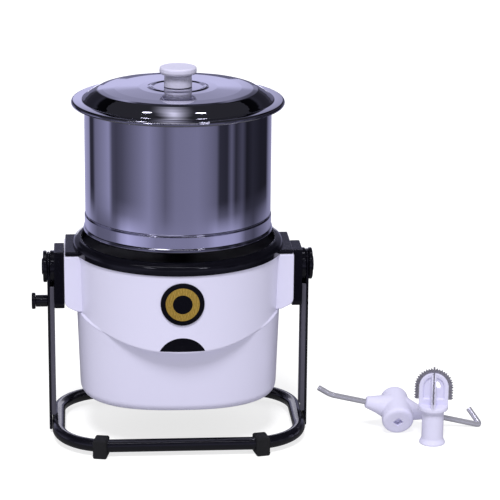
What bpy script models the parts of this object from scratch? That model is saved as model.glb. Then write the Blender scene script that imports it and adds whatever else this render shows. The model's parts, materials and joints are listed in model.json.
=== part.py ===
"""A two-litre tilting wet grinder on a bent-tube stand, with its dough kneader and coconut scraper.

Metres, +Z up, front towards -Y. The grinder's own shapes are written about its drum axis, which stands on the
floor at the object named grinder, and each moving group hangs on an empty that lies on its joint's axis.
"""
import math

import bmesh
import bpy
from mathutils import Matrix, Vector

# Fits
FIT = 0.0003               # gap between two pieces that touch
RUN_GAP = 0.0005           # gap round a piece that slides or turns past another
OVERRUN = 0.004            # how far a cutter runs past the face that it cuts
MERGE = 0.000001           # points this close are one point
SHARP_ANGLE = math.radians(35)
FULL_TURN = 2 * math.pi

# Facets
FINE_STEPS = 48
HALF_FACET = math.pi / FINE_STEPS
ROUND_STEPS = 24
SMALL_STEPS = 16
TINY_STEPS = 8
CORNER_STEPS = 5
HEX_SIDES = 6

# The drum's radius, which the housing, the collar, the lid and the stand follow
DRUM_R = 0.115

# Stand: bent tube loop, clip feet, pressed uprights
TUBE_R = 0.008
TUBE_SIDES = 12
LOOP_BEYOND_EAR = 0.0098   # from the ears to the tube's centre line
LOOP_HALF_DEPTH = 0.097
LOOP_CORNER_R = 0.065
FOOT_BELOW_TUBE = 0.006
FOOT_WIDTH = 0.0175
FOOT_SIDE = 0.024
FOOT_EDGE = 0.0025
FRONT_FOOT_INSET = 0.0525  # from the tube's centre line at the side to the middle of a foot
REAR_FOOT_INSET = 0.0795
WEB_THICK = 0.0035
WEB_WIDTH = 0.030
WEB_BOTTOM = 0.005
WEB_CORNER_R = 0.012
WEB_ABOVE_PIVOT = 0.018
LIP_REACH = 0.005          # the channel's lips turn in by this much
LIP_SHEET = 0.003
LIP_ABOVE_TUBE = 0.003
LIP_BELOW_PIVOT = 0.023

# Pivots
PIVOT_Z = 0.217
PIN_R = 0.008
PIN_LENGTH = 0.0175        # from the upright's outer face inwards
CAP_R = 0.020
CAP_THICK = 0.0065
CAP_EDGE = 0.002
BUSH_R = 0.011
BRACKET_HALF_DEPTH = 0.022
BRACKET_EDGE_R = 0.008
BRACKET_BOTTOM = 0.1665
BRACKET_GAP_TO_LIP = 0.0004
PIVOT_BOSS_R = 0.020
BOLT_R = 0.0025
BOLT_HEAD_R = 0.0045
BOLT_HEAD_THICK = 0.0033
BOLT_BELOW_PIVOT = 0.030
NUT_THICK = 0.0041

# Lock plunger on the left upright
LOCK_Z = 0.172
LOCK_BARREL_R = 0.0075
LOCK_BARREL_WALL = 0.0012
LOCK_BARREL_LENGTH = 0.0145
LOCK_PIN_R = 0.0035
LOCK_FLANGE_R = 0.0105
LOCK_FLANGE_THICK = 0.0047
SPRING_WIRE_R = 0.0005
SPRING_R = 0.0051
SPRING_TURNS = 4
SPRING_POINTS = 8          # points in one turn
SPRING_LENGTH = 0.0095

# Housing
BODY_BOTTOM = 0.056
BODY_TOP = 0.241
BODY_WALL = 0.003
BODY_POWER = 2.5           # squareness of the lower body's plan
BULGE_BEYOND_DRUM = 0.014
BULGE_FLARE = 0.0015
LIP_OVERHANG_X = 0.0007    # of the bulge over the lower body, at the sides
LIP_OVERHANG_Y = 0.0175    # and at the front and rear
BODY_TAPER_X = 0.0033
BODY_TAPER_Y = 0.011
BODY_EDGE_R = 0.013
LIP_FRONT_Z = 0.142
LIP_LIFT = 0.021           # how far the lip's line climbs from the front to the sides
LIP_LIFT_INSET = 0.0145    # it has climbed that far this much short of the sides
LIP_NOSE = 0.002
LIP_UNDERCUT = 0.003
LIP_FADE = 0.004           # the lip stands this far out where its undercut is full
LEDGE_WIDTH = 0.008
EAR_HALF_DEPTH = 0.043
EAR_REACH = 0.0127         # beyond the bulge
EAR_ROOT = 0.010           # inside it
EAR_FOOT_Z = 0.170
EAR_SIDE_Z = 0.182
EAR_EDGE = 0.005
EAR_SLOPE = 0.0075         # how far the bevel's first flat runs down
EAR_FOOT_RISE = 0.001

# Collar
COLLAR_OVERHANG = 0.002
COLLAR_SIDE = 0.006
COLLAR_HEIGHT = 0.0147
COLLAR_SHOULDER = 0.009    # from the side in to the top lip
WELL_EDGE = 0.0015         # from the top lip in to the well's wall
PAN_THICK = 0.003
PAN_RISE = 0.002
WING_HALF_DEPTH = 0.041
WING_INSET = 0.0012        # short of the ears' sides
WING_HEIGHT = 0.0055
WING_ROOT = 0.0095         # inside the collar's side

# Chassis, post and bearings
CHASSIS_INSET = 0.012
CHASSIS_THICK = 0.003
CHASSIS_BELOW_PAN = 0.006
CHASSIS_HOLE_R = 0.022
TAB_HALF_DEPTH = 0.019
TAB_DROP = 0.052
POST_BRACKET_WIDTH = 0.036
POST_BRACKET_BEYOND_PULLEY = 0.012
POST_BRACKET_SHEET = 0.003
POST_BRACKET_DROP = 0.068
POST_R = 0.008
POST_SHANK_R = 0.005
POST_NUT_R = 0.009
POST_NUT_THICK = 0.0075
POST_END = 0.003
POST_ABOVE_DRUM_FOOT = 0.085
POST_SQUARE = 0.009
SQUARE_HEIGHT = 0.022
THREAD_R = 0.0035
THREAD_HEIGHT = 0.014
POST_SHOULDER_R = 0.012
BEARING_R = 0.013
BEARING_HEIGHT = 0.008

# Drum
DRUM_ABOVE_HOUSING = 0.024
DRUM_HEIGHT = 0.1655
DRUM_WALL = 0.0012
FLOOR_THICK = 0.0015
DRUM_FOOT_BEAD = 0.0025    # these four stand out from the wall, or in
BAND_STEP = 0.0008
GROOVE_DEPTH = 0.0011
RIM_BEAD = 0.002
DRUM_FOOT_HEIGHT = 0.005
BAND_HEIGHT = 0.021
GROOVE_HALF = 0.001
RIM_HEIGHT = 0.0035
RIM_EDGE = 0.0012
HUB_R = 0.017
HUB_BOTTOM = 0.178
HUB_ABOVE_DRUM_FOOT = 0.080
HUB_FLANGE_R = 0.045
HUB_FLANGE_THICK = 0.0062
STONE_INSET = 0.007
STONE_BORE_R = 0.020
STONE_THICK = 0.023
STONE_EDGE = 0.002

# Drive
BELT_Z = 0.203
BELT_WIDTH = 0.007
BELT_THICK = 0.003
PULLEY_SPACE = 0.020       # between the drum pulley's groove and the motor's axis
DRUM_PULLEY_FLANGE = 0.003
DRUM_PULLEY_BOSS_R = 0.024
PULLEY_WEB = 0.005
PULLEY_CHEEK = 0.003
MOTOR_PULLEY_R = 0.0072
MOTOR_PULLEY_FLANGE = 0.002
MOTOR_INSET = 0.045        # from the drum's wall in to the motor's axis
MOTOR_R = 0.040
MOTOR_BOTTOM = 0.085
MOTOR_TOP = 0.160
MOTOR_END_THICK = 0.004
MOTOR_CAVITY_R = 0.026
ROTOR_CORE_R = 0.025
ROTOR_CORE_GAP = 0.006
SHAFT_R = 0.005
SHAFT_TOP = 0.211
SHAFT_BOTTOM = 0.066
FAN_R = 0.032
FAN_HUB_R = 0.009
FAN_DISC = 0.002
FAN_BLADE_THICK = 0.0016
FAN_BLADES = 8
FAN_HEIGHT = 0.013
FAN_BELOW_MOTOR = 0.003
STUD_R = 0.003
STUD_CIRCLE_R = 0.036
MOUNT_HALF = 0.004
MOUNT_THICK = 0.003
STUD_ANGLES = (-110, -35, 35, 110)
CAPACITOR_R = 0.017
CAPACITOR_HEIGHT = 0.060
CAPACITOR_INSET = 0.040
CAPACITOR_EDGE = 0.002

# Bottom cover and gland
COVER_THICK = 0.003
COVER_INSET = 0.0005
GLAND_Z = 0.090
GLAND_R = 0.0075
GLAND_FLANGE_R = 0.010
GLAND_FLANGE_THICK = 0.003
GLAND_BORE_R = 0.0034
GLAND_LENGTH = 0.016

# Front: half-moon switch and round badge
SWITCH_HALF_WIDTH = 0.027
SWITCH_HEIGHT = 0.017
SWITCH_CHORD_Z = 0.1455
SWITCH_GAP = 0.0004
SWITCH_FACE_INSET = 0.0006
SWITCH_DEPTH = 0.011
SWITCH_TRAVEL = 0.003
SWITCH_BODY_HALF_WIDTH = 0.018
SWITCH_BODY_DEPTH = 0.022
SWITCH_BODY_HEIGHT = 0.018
SWITCH_PLATE_HEIGHT = 0.024
SWITCH_PLATE_THICK = 0.003
SWITCH_PLATE_RISE = 0.0078
BADGE_Z = 0.206
BADGE_R = 0.0265
BADGE_THICK = 0.0010
RING_R = 0.0205
RING_INNER_R = 0.0118
RING_THICK = 0.0004

# Stone unit
CONE_ANGLE = math.radians(27)
CONE_NEAR = 0.040          # along the base stone, from the drum axis
CONE_INSET = 0.008         # from the stone's edge in to the far end of a roller
CONE_EDGE = 0.003
AXLE_R = 0.006
AXLE_HEAD_R = 0.009
AXLE_HEAD_THICK = 0.003
AXLE_NUT_THICK = 0.006
ARM_WIDTH = 0.016
ARM_THICK = 0.008
ARM_GAP = 0.0018           # from a roller's outer face to its arm
ARM_BELOW_AXLE = 0.011
BAR_RISE = 0.0265          # underside of the cross bar above the top of the post's round part
BAR_OVERHANG = 0.001       # the cross bar ends this far outside the arms' top corners
HOLDER_R = 0.020
HOLDER_HEIGHT = 0.0345
KNOB_R = 0.018
KNOB_HEIGHT = 0.018
KNOB_FOOT_R = 0.016
KNOB_SKIRT = 0.006
KNOB_EDGE = 0.003
KNOB_LOBES = 6
FLUTE_R = 0.006
FLUTE_CIRCLE_R = 0.0216
WIPER_WIDTH = 0.016
WIPER_SHEET = 0.003
WIPER_RISE = 0.016
BLADE_WIDTH = 0.024
BLADE_THICK = 0.004
BLADE_GAP = 0.002
BLADE_LOW_GAP = 0.004
BLADE_HEIGHT = 0.078

# Lid
LID_SHEET = 0.0011
LID_OVERHANG = 0.016       # beyond the drum's wall
LID_HEM_R = 0.003
LID_FLANGE_WIDTH = 0.010
LID_SHOULDER_WIDTH = 0.020
LID_BREAK_WIDTH = 0.007
LID_RISE = 0.015           # from the flange up to the flat top
LID_FLANGE_DROP = 0.0008
LID_BREAK_DROP = 0.00075   # below the flat top, half way to the shoulder
LID_SHOULDER_DROP = 0.0025
RIDGE_R = 0.034
RIDGE_HALF = 0.003
RIDGE_HEIGHT = 0.0013
LID_KNOB_NECK_R = 0.017
LID_KNOB_NECK_HEIGHT = 0.017
LID_KNOB_R = 0.023
LID_KNOB_HEIGHT = 0.025
LID_KNOB_EDGE = 0.003
LID_SCREW_R = 0.0025
LID_SCREW_HEAD_R = 0.005
LID_SCREW_HEAD_THICK = 0.002
LID_SCREW_LENGTH = 0.014

# Coconut scraper, standing at the grinder's right
SCRAPER_BEYOND_KNEADER = 0.040
SCRAPER_Y = -0.070
SCRAPER_FOOT_R = 0.0162
SCRAPER_FOOT_HEIGHT = 0.006
SCRAPER_FOOT_EDGE = 0.002
SCRAPER_NECK_R = 0.0136
SCRAPER_NECK_HEIGHT = 0.045
SCRAPER_RIM_R = 0.0185
SCRAPER_RIM_HEIGHT = 0.006
SCRAPER_RIM_EDGE = 0.002
SOCKET_DEPTH = 0.026
SOCKET_SIDE = POST_SQUARE + 2 * FIT
RIB_THICK = 0.005
RIB_R = 0.0180
RIB_WINDOW_R = 0.0085
RIB_WINDOW_SIDE = 0.0028
RIB_WINDOW_RISE = 0.0225   # from the rim to the windows' foot
SCRAPER_TURN = math.radians(-9.4)   # of its ribs and blades, about its own axis
SCRAPER_HEIGHT = 0.099
SAW_R = 0.0245
SAW_THICK = 0.0014
SAW_FOOT_RISE = 0.007
SAW_TOOTH = 0.0012
SAW_TEETH = 22

# Dough kneader, lying beside it
KNEADER_BEYOND_UPRIGHT = 0.1137
KNEADER_Y = -0.0195
KNEADER_NOSE_R = 0.0205
KNEADER_TAIL_R = 0.0175
KNEADER_NOSE_REACH = 0.028   # from the rods' line to the socket face
KNEADER_TAIL_REACH = 0.030
KNEADER_DOME = 0.012
KNEADER_EDGE = 0.002
KNEADER_PITCH = math.radians(20)
SLEEVE_ROOT_R = 0.0155
SLEEVE_END_R = 0.0072
SLEEVE_ROOT_REACH = 0.010
SLEEVE_REACH = 0.040
ROD_R = 0.0035
ROD_START = 0.019
ROD_LEFT = 0.086
ROD_RIGHT = 0.113
ROD_BEND_R = 0.006
ROD_BEND_RISE = 0.0008     # the rounded bend stays this far above its corner
LEFT_TIP = (-0.0150, 0.0080, 0.0070)
RIGHT_TIP = (-0.0140, 0.0120, 0.0186)

# Radii and places that follow the drum's radius
BULGE_TOP_R = DRUM_R + BULGE_BEYOND_DRUM
BULGE_FOOT_R = BULGE_TOP_R - BULGE_FLARE
BODY_LIP_X = BULGE_FOOT_R - LIP_OVERHANG_X
BODY_LIP_Y = BULGE_FOOT_R - LIP_OVERHANG_Y
BODY_FOOT_X = BODY_LIP_X - BODY_TAPER_X
BODY_FOOT_Y = BODY_LIP_Y - BODY_TAPER_Y
LIP_LIFT_X = BULGE_FOOT_R - LIP_LIFT_INSET
EAR_X = BULGE_TOP_R + EAR_REACH
EAR_ROOT_X = BULGE_TOP_R - EAR_ROOT
COLLAR_R = BULGE_TOP_R + COLLAR_OVERHANG
COLLAR_LIP_R = COLLAR_R - COLLAR_SHOULDER
WELL_R = COLLAR_LIP_R - WELL_EDGE
WING_X = EAR_X - WING_INSET
WING_ROOT_X = COLLAR_R - WING_ROOT
CHASSIS_R = BULGE_TOP_R - CHASSIS_INSET
LOOP_HALF_WIDTH = EAR_X + LOOP_BEYOND_EAR
DRUM_FOOT_R = DRUM_R + DRUM_FOOT_BEAD
BAND_R = DRUM_R + BAND_STEP
GROOVE_R = DRUM_R - GROOVE_DEPTH
RIM_R = DRUM_R + RIM_BEAD
STONE_R = DRUM_R - STONE_INSET
CONE_FAR = STONE_R - CONE_INSET
MOTOR_X = DRUM_R - MOTOR_INSET
DRUM_PULLEY_R = MOTOR_X - PULLEY_SPACE
POST_BRACKET_SPAN = DRUM_PULLEY_R + POST_BRACKET_BEYOND_PULLEY
CAPACITOR_X = CAPACITOR_INSET - DRUM_R
LID_R = DRUM_R + LID_OVERHANG
LID_FLANGE_R = LID_R - LID_FLANGE_WIDTH
LID_SHOULDER_R = LID_FLANGE_R - LID_SHOULDER_WIDTH
LID_FLAT_R = LID_SHOULDER_R - LID_BREAK_WIDTH

# Heights and places worked out from the sizes above
TUBE_Z = FOOT_BELOW_TUBE + TUBE_R
WEB_X = LOOP_HALF_WIDTH + TUBE_R + FIT
WEB_OUTER_X = WEB_X + WEB_THICK
KNEADER_X = WEB_OUTER_X + KNEADER_BEYOND_UPRIGHT
SCRAPER_X = KNEADER_X + SCRAPER_BEYOND_KNEADER
LIP_X = WEB_X - LIP_REACH
WEB_TOP = PIVOT_Z + WEB_ABOVE_PIVOT
BRACKET_X = EAR_X + FIT
BRACKET_FACE_X = LIP_X - BRACKET_GAP_TO_LIP
BOSS_FACE_X = WEB_X - FIT
COLLAR_BOTTOM = BODY_TOP + FIT
CHASSIS_TOP = BODY_TOP - CHASSIS_BELOW_PAN
CHASSIS_BOTTOM = CHASSIS_TOP - CHASSIS_THICK
TAB_X = EAR_ROOT_X - 2 * FIT
TAB_INNER_X = TAB_X - CHASSIS_THICK
POST_WEB_TOP = CHASSIS_BOTTOM - POST_BRACKET_DROP
DRUM_BOTTOM = BODY_TOP + DRUM_ABOVE_HOUSING
DRUM_TOP = DRUM_BOTTOM + DRUM_HEIGHT
HUB_TOP = DRUM_BOTTOM + HUB_ABOVE_DRUM_FOOT
POST_TOP = DRUM_BOTTOM + POST_ABOVE_DRUM_FOOT
FLOOR_TOP = DRUM_BOTTOM + FLOOR_THICK
STONE_TOP = FLOOR_TOP + FIT + STONE_THICK
HUB_BORE_R = BEARING_R + FIT
BEARING_BORE_R = POST_R + FIT
APEX_Z = STONE_TOP + FIT
HOLDER_BOTTOM = POST_TOP + FIT
BAR_BOTTOM = POST_TOP + BAR_RISE
LID_FLANGE_Z = DRUM_TOP - LID_FLANGE_DROP
LID_TOP = LID_FLANGE_Z + LID_RISE
DRUM_INNER_R = GROOVE_R - DRUM_WALL
KNEADER_RIM_REACH = KNEADER_NOSE_REACH - KNEADER_EDGE
KNEADER_Z = KNEADER_NOSE_R * math.cos(KNEADER_PITCH) + KNEADER_RIM_REACH * math.sin(KNEADER_PITCH)
KNEADER_ROLL = math.asin((KNEADER_Z - ROD_R + ROD_BEND_RISE) / ROD_RIGHT)
LEFT_END = WEB_OUTER_X + FIT + LOCK_BARREL_LENGTH + FIT + LOCK_FLANGE_THICK


# Finishes

def finish(name, colour, roughness, metallic=0.0):
    material = bpy.data.materials.new(name)
    material.use_nodes = True
    shader = material.node_tree.nodes["Principled BSDF"]
    shader.inputs["Base Color"].default_value = (*colour, 1.0)
    shader.inputs["Roughness"].default_value = roughness
    shader.inputs["Metallic"].default_value = metallic
    return material


def make_finishes():
    return {
        "white_plastic": finish("white_plastic", (0.66, 0.64, 0.86), 0.35),
        "black_plastic": finish("black_plastic", (0.006, 0.006, 0.010), 0.22),
        "black_paint": finish("black_paint", (0.012, 0.012, 0.018), 0.25),
        "mirror_steel": finish("mirror_steel", (0.62, 0.62, 0.66), 0.08, 1.0),
        "steel": finish("steel", (0.50, 0.50, 0.52), 0.30, 1.0),
        "zinc": finish("zinc", (0.55, 0.56, 0.58), 0.40, 1.0),
        "rubber": finish("rubber", (0.010, 0.010, 0.012), 0.75),
        "granite": finish("granite", (0.06, 0.06, 0.06), 0.60),
        "nylon": finish("nylon", (0.75, 0.75, 0.70), 0.45),
        "motor_core": finish("motor_core", (0.08, 0.09, 0.12), 0.50, 0.6),
        "gold": finish("gold", (0.80, 0.55, 0.16), 0.25, 1.0),
    }


# Mesh helpers

def clear_scene():
    for item in list(bpy.data.objects):
        bpy.data.objects.remove(item)


def empty_at(name, place, parent=None):
    """An empty at a place in the grinder's own frame, or in the world's for one with no parent."""
    empty = bpy.data.objects.new(name, None)
    bpy.context.scene.collection.objects.link(empty)
    empty.location = place
    if parent is not None:
        empty.parent = parent
        empty.location = Vector(place) - Vector(PLACES.get(parent.name, (0, 0, 0)))
        PLACES[name] = place
    return empty


PLACES = {}


def add(name, bm, material, parent):
    """Makes an object of a mesh that is written in the grinder's frame, and hangs it on its parent empty."""
    bmesh.ops.recalc_face_normals(bm, faces=bm.faces)
    mesh = bpy.data.meshes.new(name)
    bm.to_mesh(mesh)
    bm.free()
    mesh.shade_smooth()
    mesh.set_sharp_from_angle(angle=SHARP_ANGLE)
    item = bpy.data.objects.new(name, mesh)
    bpy.context.scene.collection.objects.link(item)
    item.parent = parent
    item.location = -Vector(PLACES.get(parent.name, (0, 0, 0)))
    if material is not None:
        mesh.materials.append(material)
    return item


def tool(bm, target):
    """A hidden cutter or joining shape, which lies in the same frame as its target."""
    item = add(target.name + "_tool", bm, None, target.parent)
    item.hide_render = True
    item.display_type = "WIRE"
    return item


def boolean(target, bm, operation):
    modifier = target.modifiers.new(operation.lower(), "BOOLEAN")
    modifier.object = tool(bm, target)
    modifier.operation = operation
    modifier.solver = "EXACT"


def cut(target, *shapes):
    for bm in shapes:
        boolean(target, bm, "DIFFERENCE")


def join(target, *shapes):
    for bm in shapes:
        boolean(target, bm, "UNION")


def keep_inside(target, bm):
    boolean(target, bm, "INTERSECT")


def soften(target, width, segments=1):
    modifier = target.modifiers.new("edges", "BEVEL")
    modifier.width = width
    modifier.segments = segments
    modifier.limit_method = "ANGLE"
    modifier.angle_limit = SHARP_ANGLE


def turned(profile, steps):
    """A profile of (radius, height) turned about Z. One that starts and ends on the axis isn't closed by a line."""
    bm = bmesh.new()
    points = [bm.verts.new((radius, 0, height)) for radius, height in profile]
    pairs = list(zip(points, points[1:]))
    if profile[0][0] > 0 or profile[-1][0] > 0:
        pairs.append((points[-1], points[0]))
    lines = [bm.edges.new(pair) for pair in pairs]
    bmesh.ops.spin(
        bm, geom=points + lines, cent=(0, 0, 0), axis=(0, 0, 1), angle=FULL_TURN, steps=steps, use_merge=True
    )
    bmesh.ops.remove_doubles(bm, verts=bm.verts, dist=MERGE)
    return bm


def rod(radius, bottom, top, steps=SMALL_STEPS):
    return turned([(0, bottom), (radius, bottom), (radius, top), (0, top)], steps)


def ring(inner, outer, bottom, top, steps=SMALL_STEPS):
    return turned([(inner, bottom), (outer, bottom), (outer, top), (inner, top)], steps)


def moved(bm, place=(0, 0, 0), turn=None):
    if turn is not None:
        bmesh.ops.transform(bm, matrix=turn, verts=bm.verts)
    bmesh.ops.translate(bm, verts=bm.verts, vec=place)
    return bm


def turn_about(axis, angle):
    return Matrix.Rotation(angle, 4, axis)


def along_x(bm, place, side=1):
    """Lays a shape that stands on Z along X, its foot at place and its top towards the side."""
    return moved(bm, place, turn_about("Y", side * FULL_TURN / 4))


def along_y(bm, place):
    """Lays a shape that stands on Z along Y, its foot at place and its top towards +Y."""
    return moved(bm, place, turn_about("X", -FULL_TURN / 4))


def block(low, high):
    bm = bmesh.new()
    bmesh.ops.create_cube(bm, size=1)
    size = [b - a for a, b in zip(low, high)]
    middle = [(a + b) / 2 for a, b in zip(low, high)]
    bmesh.ops.scale(bm, vec=size, verts=bm.verts)
    bmesh.ops.translate(bm, vec=middle, verts=bm.verts)
    return bm


def prism(outline, start, end, across):
    """A flat outline pushed from start to end along the axis named across."""
    place = {
        "X": lambda u, v, w: (w, u, v),
        "Y": lambda u, v, w: (u, w, v),
        "Z": lambda u, v, w: (u, v, w),
    }[across]
    bm = bmesh.new()
    face = bm.faces.new([bm.verts.new(place(u, v, start)) for u, v in outline])
    pushed = bmesh.ops.extrude_face_region(bm, geom=[face])
    points = [item for item in pushed["geom"] if isinstance(item, bmesh.types.BMVert)]
    bmesh.ops.translate(bm, verts=points, vec=place(0, 0, end - start))
    return bm


def gather(shapes):
    """Several separate solids in one mesh."""
    whole = bmesh.new()
    for bm in shapes:
        scratch = bpy.data.meshes.new("scratch")
        bm.to_mesh(scratch)
        bm.free()
        whole.from_mesh(scratch)
        bpy.data.meshes.remove(scratch)
    return whole


def stitch(rings, closed_ends=True, closed_loop=False):
    """Skins a list of rings, each a list of points with the same count."""
    bm = bmesh.new()
    loops = [[bm.verts.new(point) for point in ring_points] for ring_points in rings]
    pairs = list(zip(loops, loops[1:]))
    if closed_loop:
        pairs.append((loops[-1], loops[0]))
    for low, high in pairs:
        count = len(low)
        for index in range(count):
            after = (index + 1) % count
            bm.faces.new((low[index], low[after], high[after], high[index]))
    if closed_ends and not closed_loop:
        bm.faces.new(list(reversed(loops[0])))
        bm.faces.new(loops[-1])
    return bm


def tube(points, radius, sides, closed=False, end_radius=None):
    """A round bar along the points. Its thickness runs evenly to end_radius, if there is one."""
    points = [Vector(point) for point in points]
    count = len(points)
    rings = []
    normal = None
    for index, point in enumerate(points):
        before = points[index - 1] if closed or index else point
        after = points[(index + 1) % count] if closed or index < count - 1 else point
        along = (after - before).normalized()
        if normal is None:
            normal = along.orthogonal() if abs(along.z) > math.cos(SHARP_ANGLE) else along.cross((0, 0, 1))
        normal = (normal - along * normal.dot(along)).normalized()
        side = along.cross(normal)
        share = index / max(count - 1, 1)
        here = radius if end_radius is None else radius + (end_radius - radius) * share
        rings.append([
            point + here * (normal * math.cos(FULL_TURN * k / sides) + side * math.sin(FULL_TURN * k / sides))
            for k in range(sides)
        ])
    return stitch(rings, closed_loop=closed)


def arc(centre_u, centre_v, radius, start, end, steps):
    """Points on an arc, from start to end in degrees."""
    points = []
    for index in range(steps + 1):
        angle = math.radians(start + (end - start) * index / steps)
        points.append((centre_u + radius * math.cos(angle), centre_v + radius * math.sin(angle)))
    return points


def rounded_rectangle(half_u, half_v, radius, steps):
    corners = ((1, 1, 0), (-1, 1, 90), (-1, -1, 180), (1, -1, 270))
    points = []
    for sign_u, sign_v, start in corners:
        points += arc(sign_u * (half_u - radius), sign_v * (half_v - radius), radius, start, start + 90, steps)
    return points


# Stand

def loop_points():
    outline = rounded_rectangle(LOOP_HALF_WIDTH, LOOP_HALF_DEPTH, LOOP_CORNER_R, CORNER_STEPS + 2)
    return [(x, y, TUBE_Z) for x, y in outline]


def make_base_frame(finishes, root):
    add("base_frame", tube(loop_points(), TUBE_R, TUBE_SIDES, closed=True), finishes["black_paint"], root)


def make_feet(finishes, root):
    corner_x = LOOP_HALF_WIDTH - LOOP_CORNER_R
    corner_y = LOOP_HALF_DEPTH - LOOP_CORNER_R
    for name_x, sign_x in (("left", -1), ("right", 1)):
        for name_y, sign_y, inset in (("front", -1, FRONT_FOOT_INSET), ("rear", 1, REAR_FOOT_INSET)):
            foot_x = LOOP_HALF_WIDTH - inset
            swing = math.asin(max(foot_x - corner_x, 0) / LOOP_CORNER_R)
            bm = block((-FOOT_WIDTH / 2, -FOOT_SIDE / 2, 0), (FOOT_WIDTH / 2, FOOT_SIDE / 2, FOOT_SIDE))
            place = (sign_x * foot_x, sign_y * (corner_y + LOOP_CORNER_R * math.cos(swing)), 0)
            bm = moved(bm, place, turn_about("Z", -sign_x * sign_y * swing))
            foot = add("foot_" + name_y + "_" + name_x, bm, finishes["rubber"], root)
            soften(foot, FOOT_EDGE)
            cut(foot, tube(loop_points(), TUBE_R + FIT, TUBE_SIDES, closed=True))


def make_upright(name, side, finishes, root):
    half = WEB_WIDTH / 2
    outline = [(-half, WEB_BOTTOM), (half, WEB_BOTTOM)]
    outline += arc(half - WEB_CORNER_R, WEB_TOP - WEB_CORNER_R, WEB_CORNER_R, 0, 90, CORNER_STEPS)
    outline += arc(WEB_CORNER_R - half, WEB_TOP - WEB_CORNER_R, WEB_CORNER_R, 90, 180, CORNER_STEPS)
    upright = add(name, prism(outline, side * WEB_X, side * WEB_OUTER_X, "X"), finishes["black_paint"], root)
    lip_low = TUBE_Z + TUBE_R + LIP_ABOVE_TUBE
    lip_high = PIVOT_Z - LIP_BELOW_PIVOT
    inner, outer = sorted((side * LIP_X, side * (WEB_X + WEB_THICK / 2)))
    for sign_y in (-1, 1):
        near, far = sorted((sign_y * half, sign_y * (half - LIP_SHEET)))
        join(upright, block((inner, near, lip_low), (outer, far, lip_high)))
    span = WEB_THICK + 2 * OVERRUN
    cut(upright, along_x(rod(PIN_R + FIT, 0, span), (side * (WEB_X - OVERRUN), 0, PIVOT_Z), side))
    if side < 0:
        cut(upright, along_x(rod(LOCK_PIN_R + FIT, 0, span), (side * (WEB_X - OVERRUN), 0, LOCK_Z), side))


def make_pivot_bolt(name_side, side, finishes, root):
    """The pin that the housing swings on, with its wide round head outside the upright."""
    head = PIN_LENGTH + FIT
    profile = [
        (0, 0), (PIN_R, 0), (PIN_R, head), (CAP_R, head), (CAP_R, head + CAP_THICK - CAP_EDGE),
        (CAP_R - CAP_EDGE, head + CAP_THICK), (0, head + CAP_THICK),
    ]
    foot = side * (WEB_OUTER_X - PIN_LENGTH)
    bolt = along_x(turned(profile, SMALL_STEPS), (foot, 0, PIVOT_Z), side)
    add("pivot_bolt_" + name_side, bolt, finishes["black_plastic"], root)


def make_lock(finishes, root, lock_axis):
    foot = WEB_OUTER_X + FIT
    bore = LOCK_BARREL_R - LOCK_BARREL_WALL
    profile = [
        (bore, 0), (LOCK_BARREL_R, 0), (LOCK_BARREL_R, LOCK_BARREL_LENGTH), (LOCK_PIN_R + FIT, LOCK_BARREL_LENGTH),
        (LOCK_PIN_R + FIT, LOCK_BARREL_LENGTH - LOCK_BARREL_WALL), (bore, LOCK_BARREL_LENGTH - LOCK_BARREL_WALL),
    ]
    add("lock_barrel", along_x(turned(profile, SMALL_STEPS), (-foot, 0, LOCK_Z), -1), finishes["black_paint"], root)
    flange = foot + LOCK_BARREL_LENGTH + FIT
    tip = BRACKET_FACE_X + FIT
    pin = [
        (0, tip), (LOCK_PIN_R, tip), (LOCK_PIN_R, flange), (LOCK_FLANGE_R, flange),
        (LOCK_FLANGE_R, flange + LOCK_FLANGE_THICK), (0, flange + LOCK_FLANGE_THICK),
    ]
    add("lock_pin", along_x(turned(pin, SMALL_STEPS), (0, 0, LOCK_Z), -1), finishes["black_paint"], lock_axis)
    coil = []
    start = foot + LOCK_BARREL_WALL
    for index in range(SPRING_TURNS * SPRING_POINTS + 1):
        angle = FULL_TURN * index / SPRING_POINTS
        reach = start + SPRING_WIRE_R + (SPRING_LENGTH - 2 * SPRING_WIRE_R) * index / (SPRING_TURNS * SPRING_POINTS)
        coil.append((-reach, SPRING_R * math.cos(angle), LOCK_Z + SPRING_R * math.sin(angle)))
    pitch = (SPRING_LENGTH - 2 * SPRING_WIRE_R) / SPRING_TURNS
    print("lock spring: least gap to itself, mm:", round((pitch - 2 * SPRING_WIRE_R) * 1000, 2))
    add("lock_spring", tube(coil, SPRING_WIRE_R, CORNER_STEPS), finishes["steel"], root)


# Housing

def plan(half_x, half_y, power, inset=0.0):
    """The plan of the housing at one level, as a function of the angle."""
    def at(angle):
        c = abs(math.cos(angle)) / (half_x - inset)
        s = abs(math.sin(angle)) / (half_y - inset)
        reach = (c ** power + s ** power) ** (-1 / power)
        return reach * math.cos(angle), reach * math.sin(angle)
    return at


def lip_height(x):
    return LIP_FRONT_Z + LIP_LIFT * (x / LIP_LIFT_X) ** 2


def level_ring(shape, height):
    """One ring of the housing: height is a number, or a function of the point's x."""
    points = []
    for index in range(FINE_STEPS):
        x, y = shape(FULL_TURN * index / FINE_STEPS)
        points.append((x, y, height(x) if callable(height) else height))
    return points


def lower_body(inset):
    return plan(BODY_LIP_X, BODY_LIP_Y, BODY_POWER, inset)


def foot_body(inset):
    return plan(BODY_FOOT_X, BODY_FOOT_Y, BODY_POWER, inset)


def bulge(radius):
    return plan(radius, radius, 2)


def overhang(x, y):
    """How far the bulge stands out beyond a point of the lower body, and how full the lip's undercut is there."""
    gap = max(BULGE_FOOT_R - math.hypot(x, y), 0)
    return gap, min(gap / LIP_FADE, 1)


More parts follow.
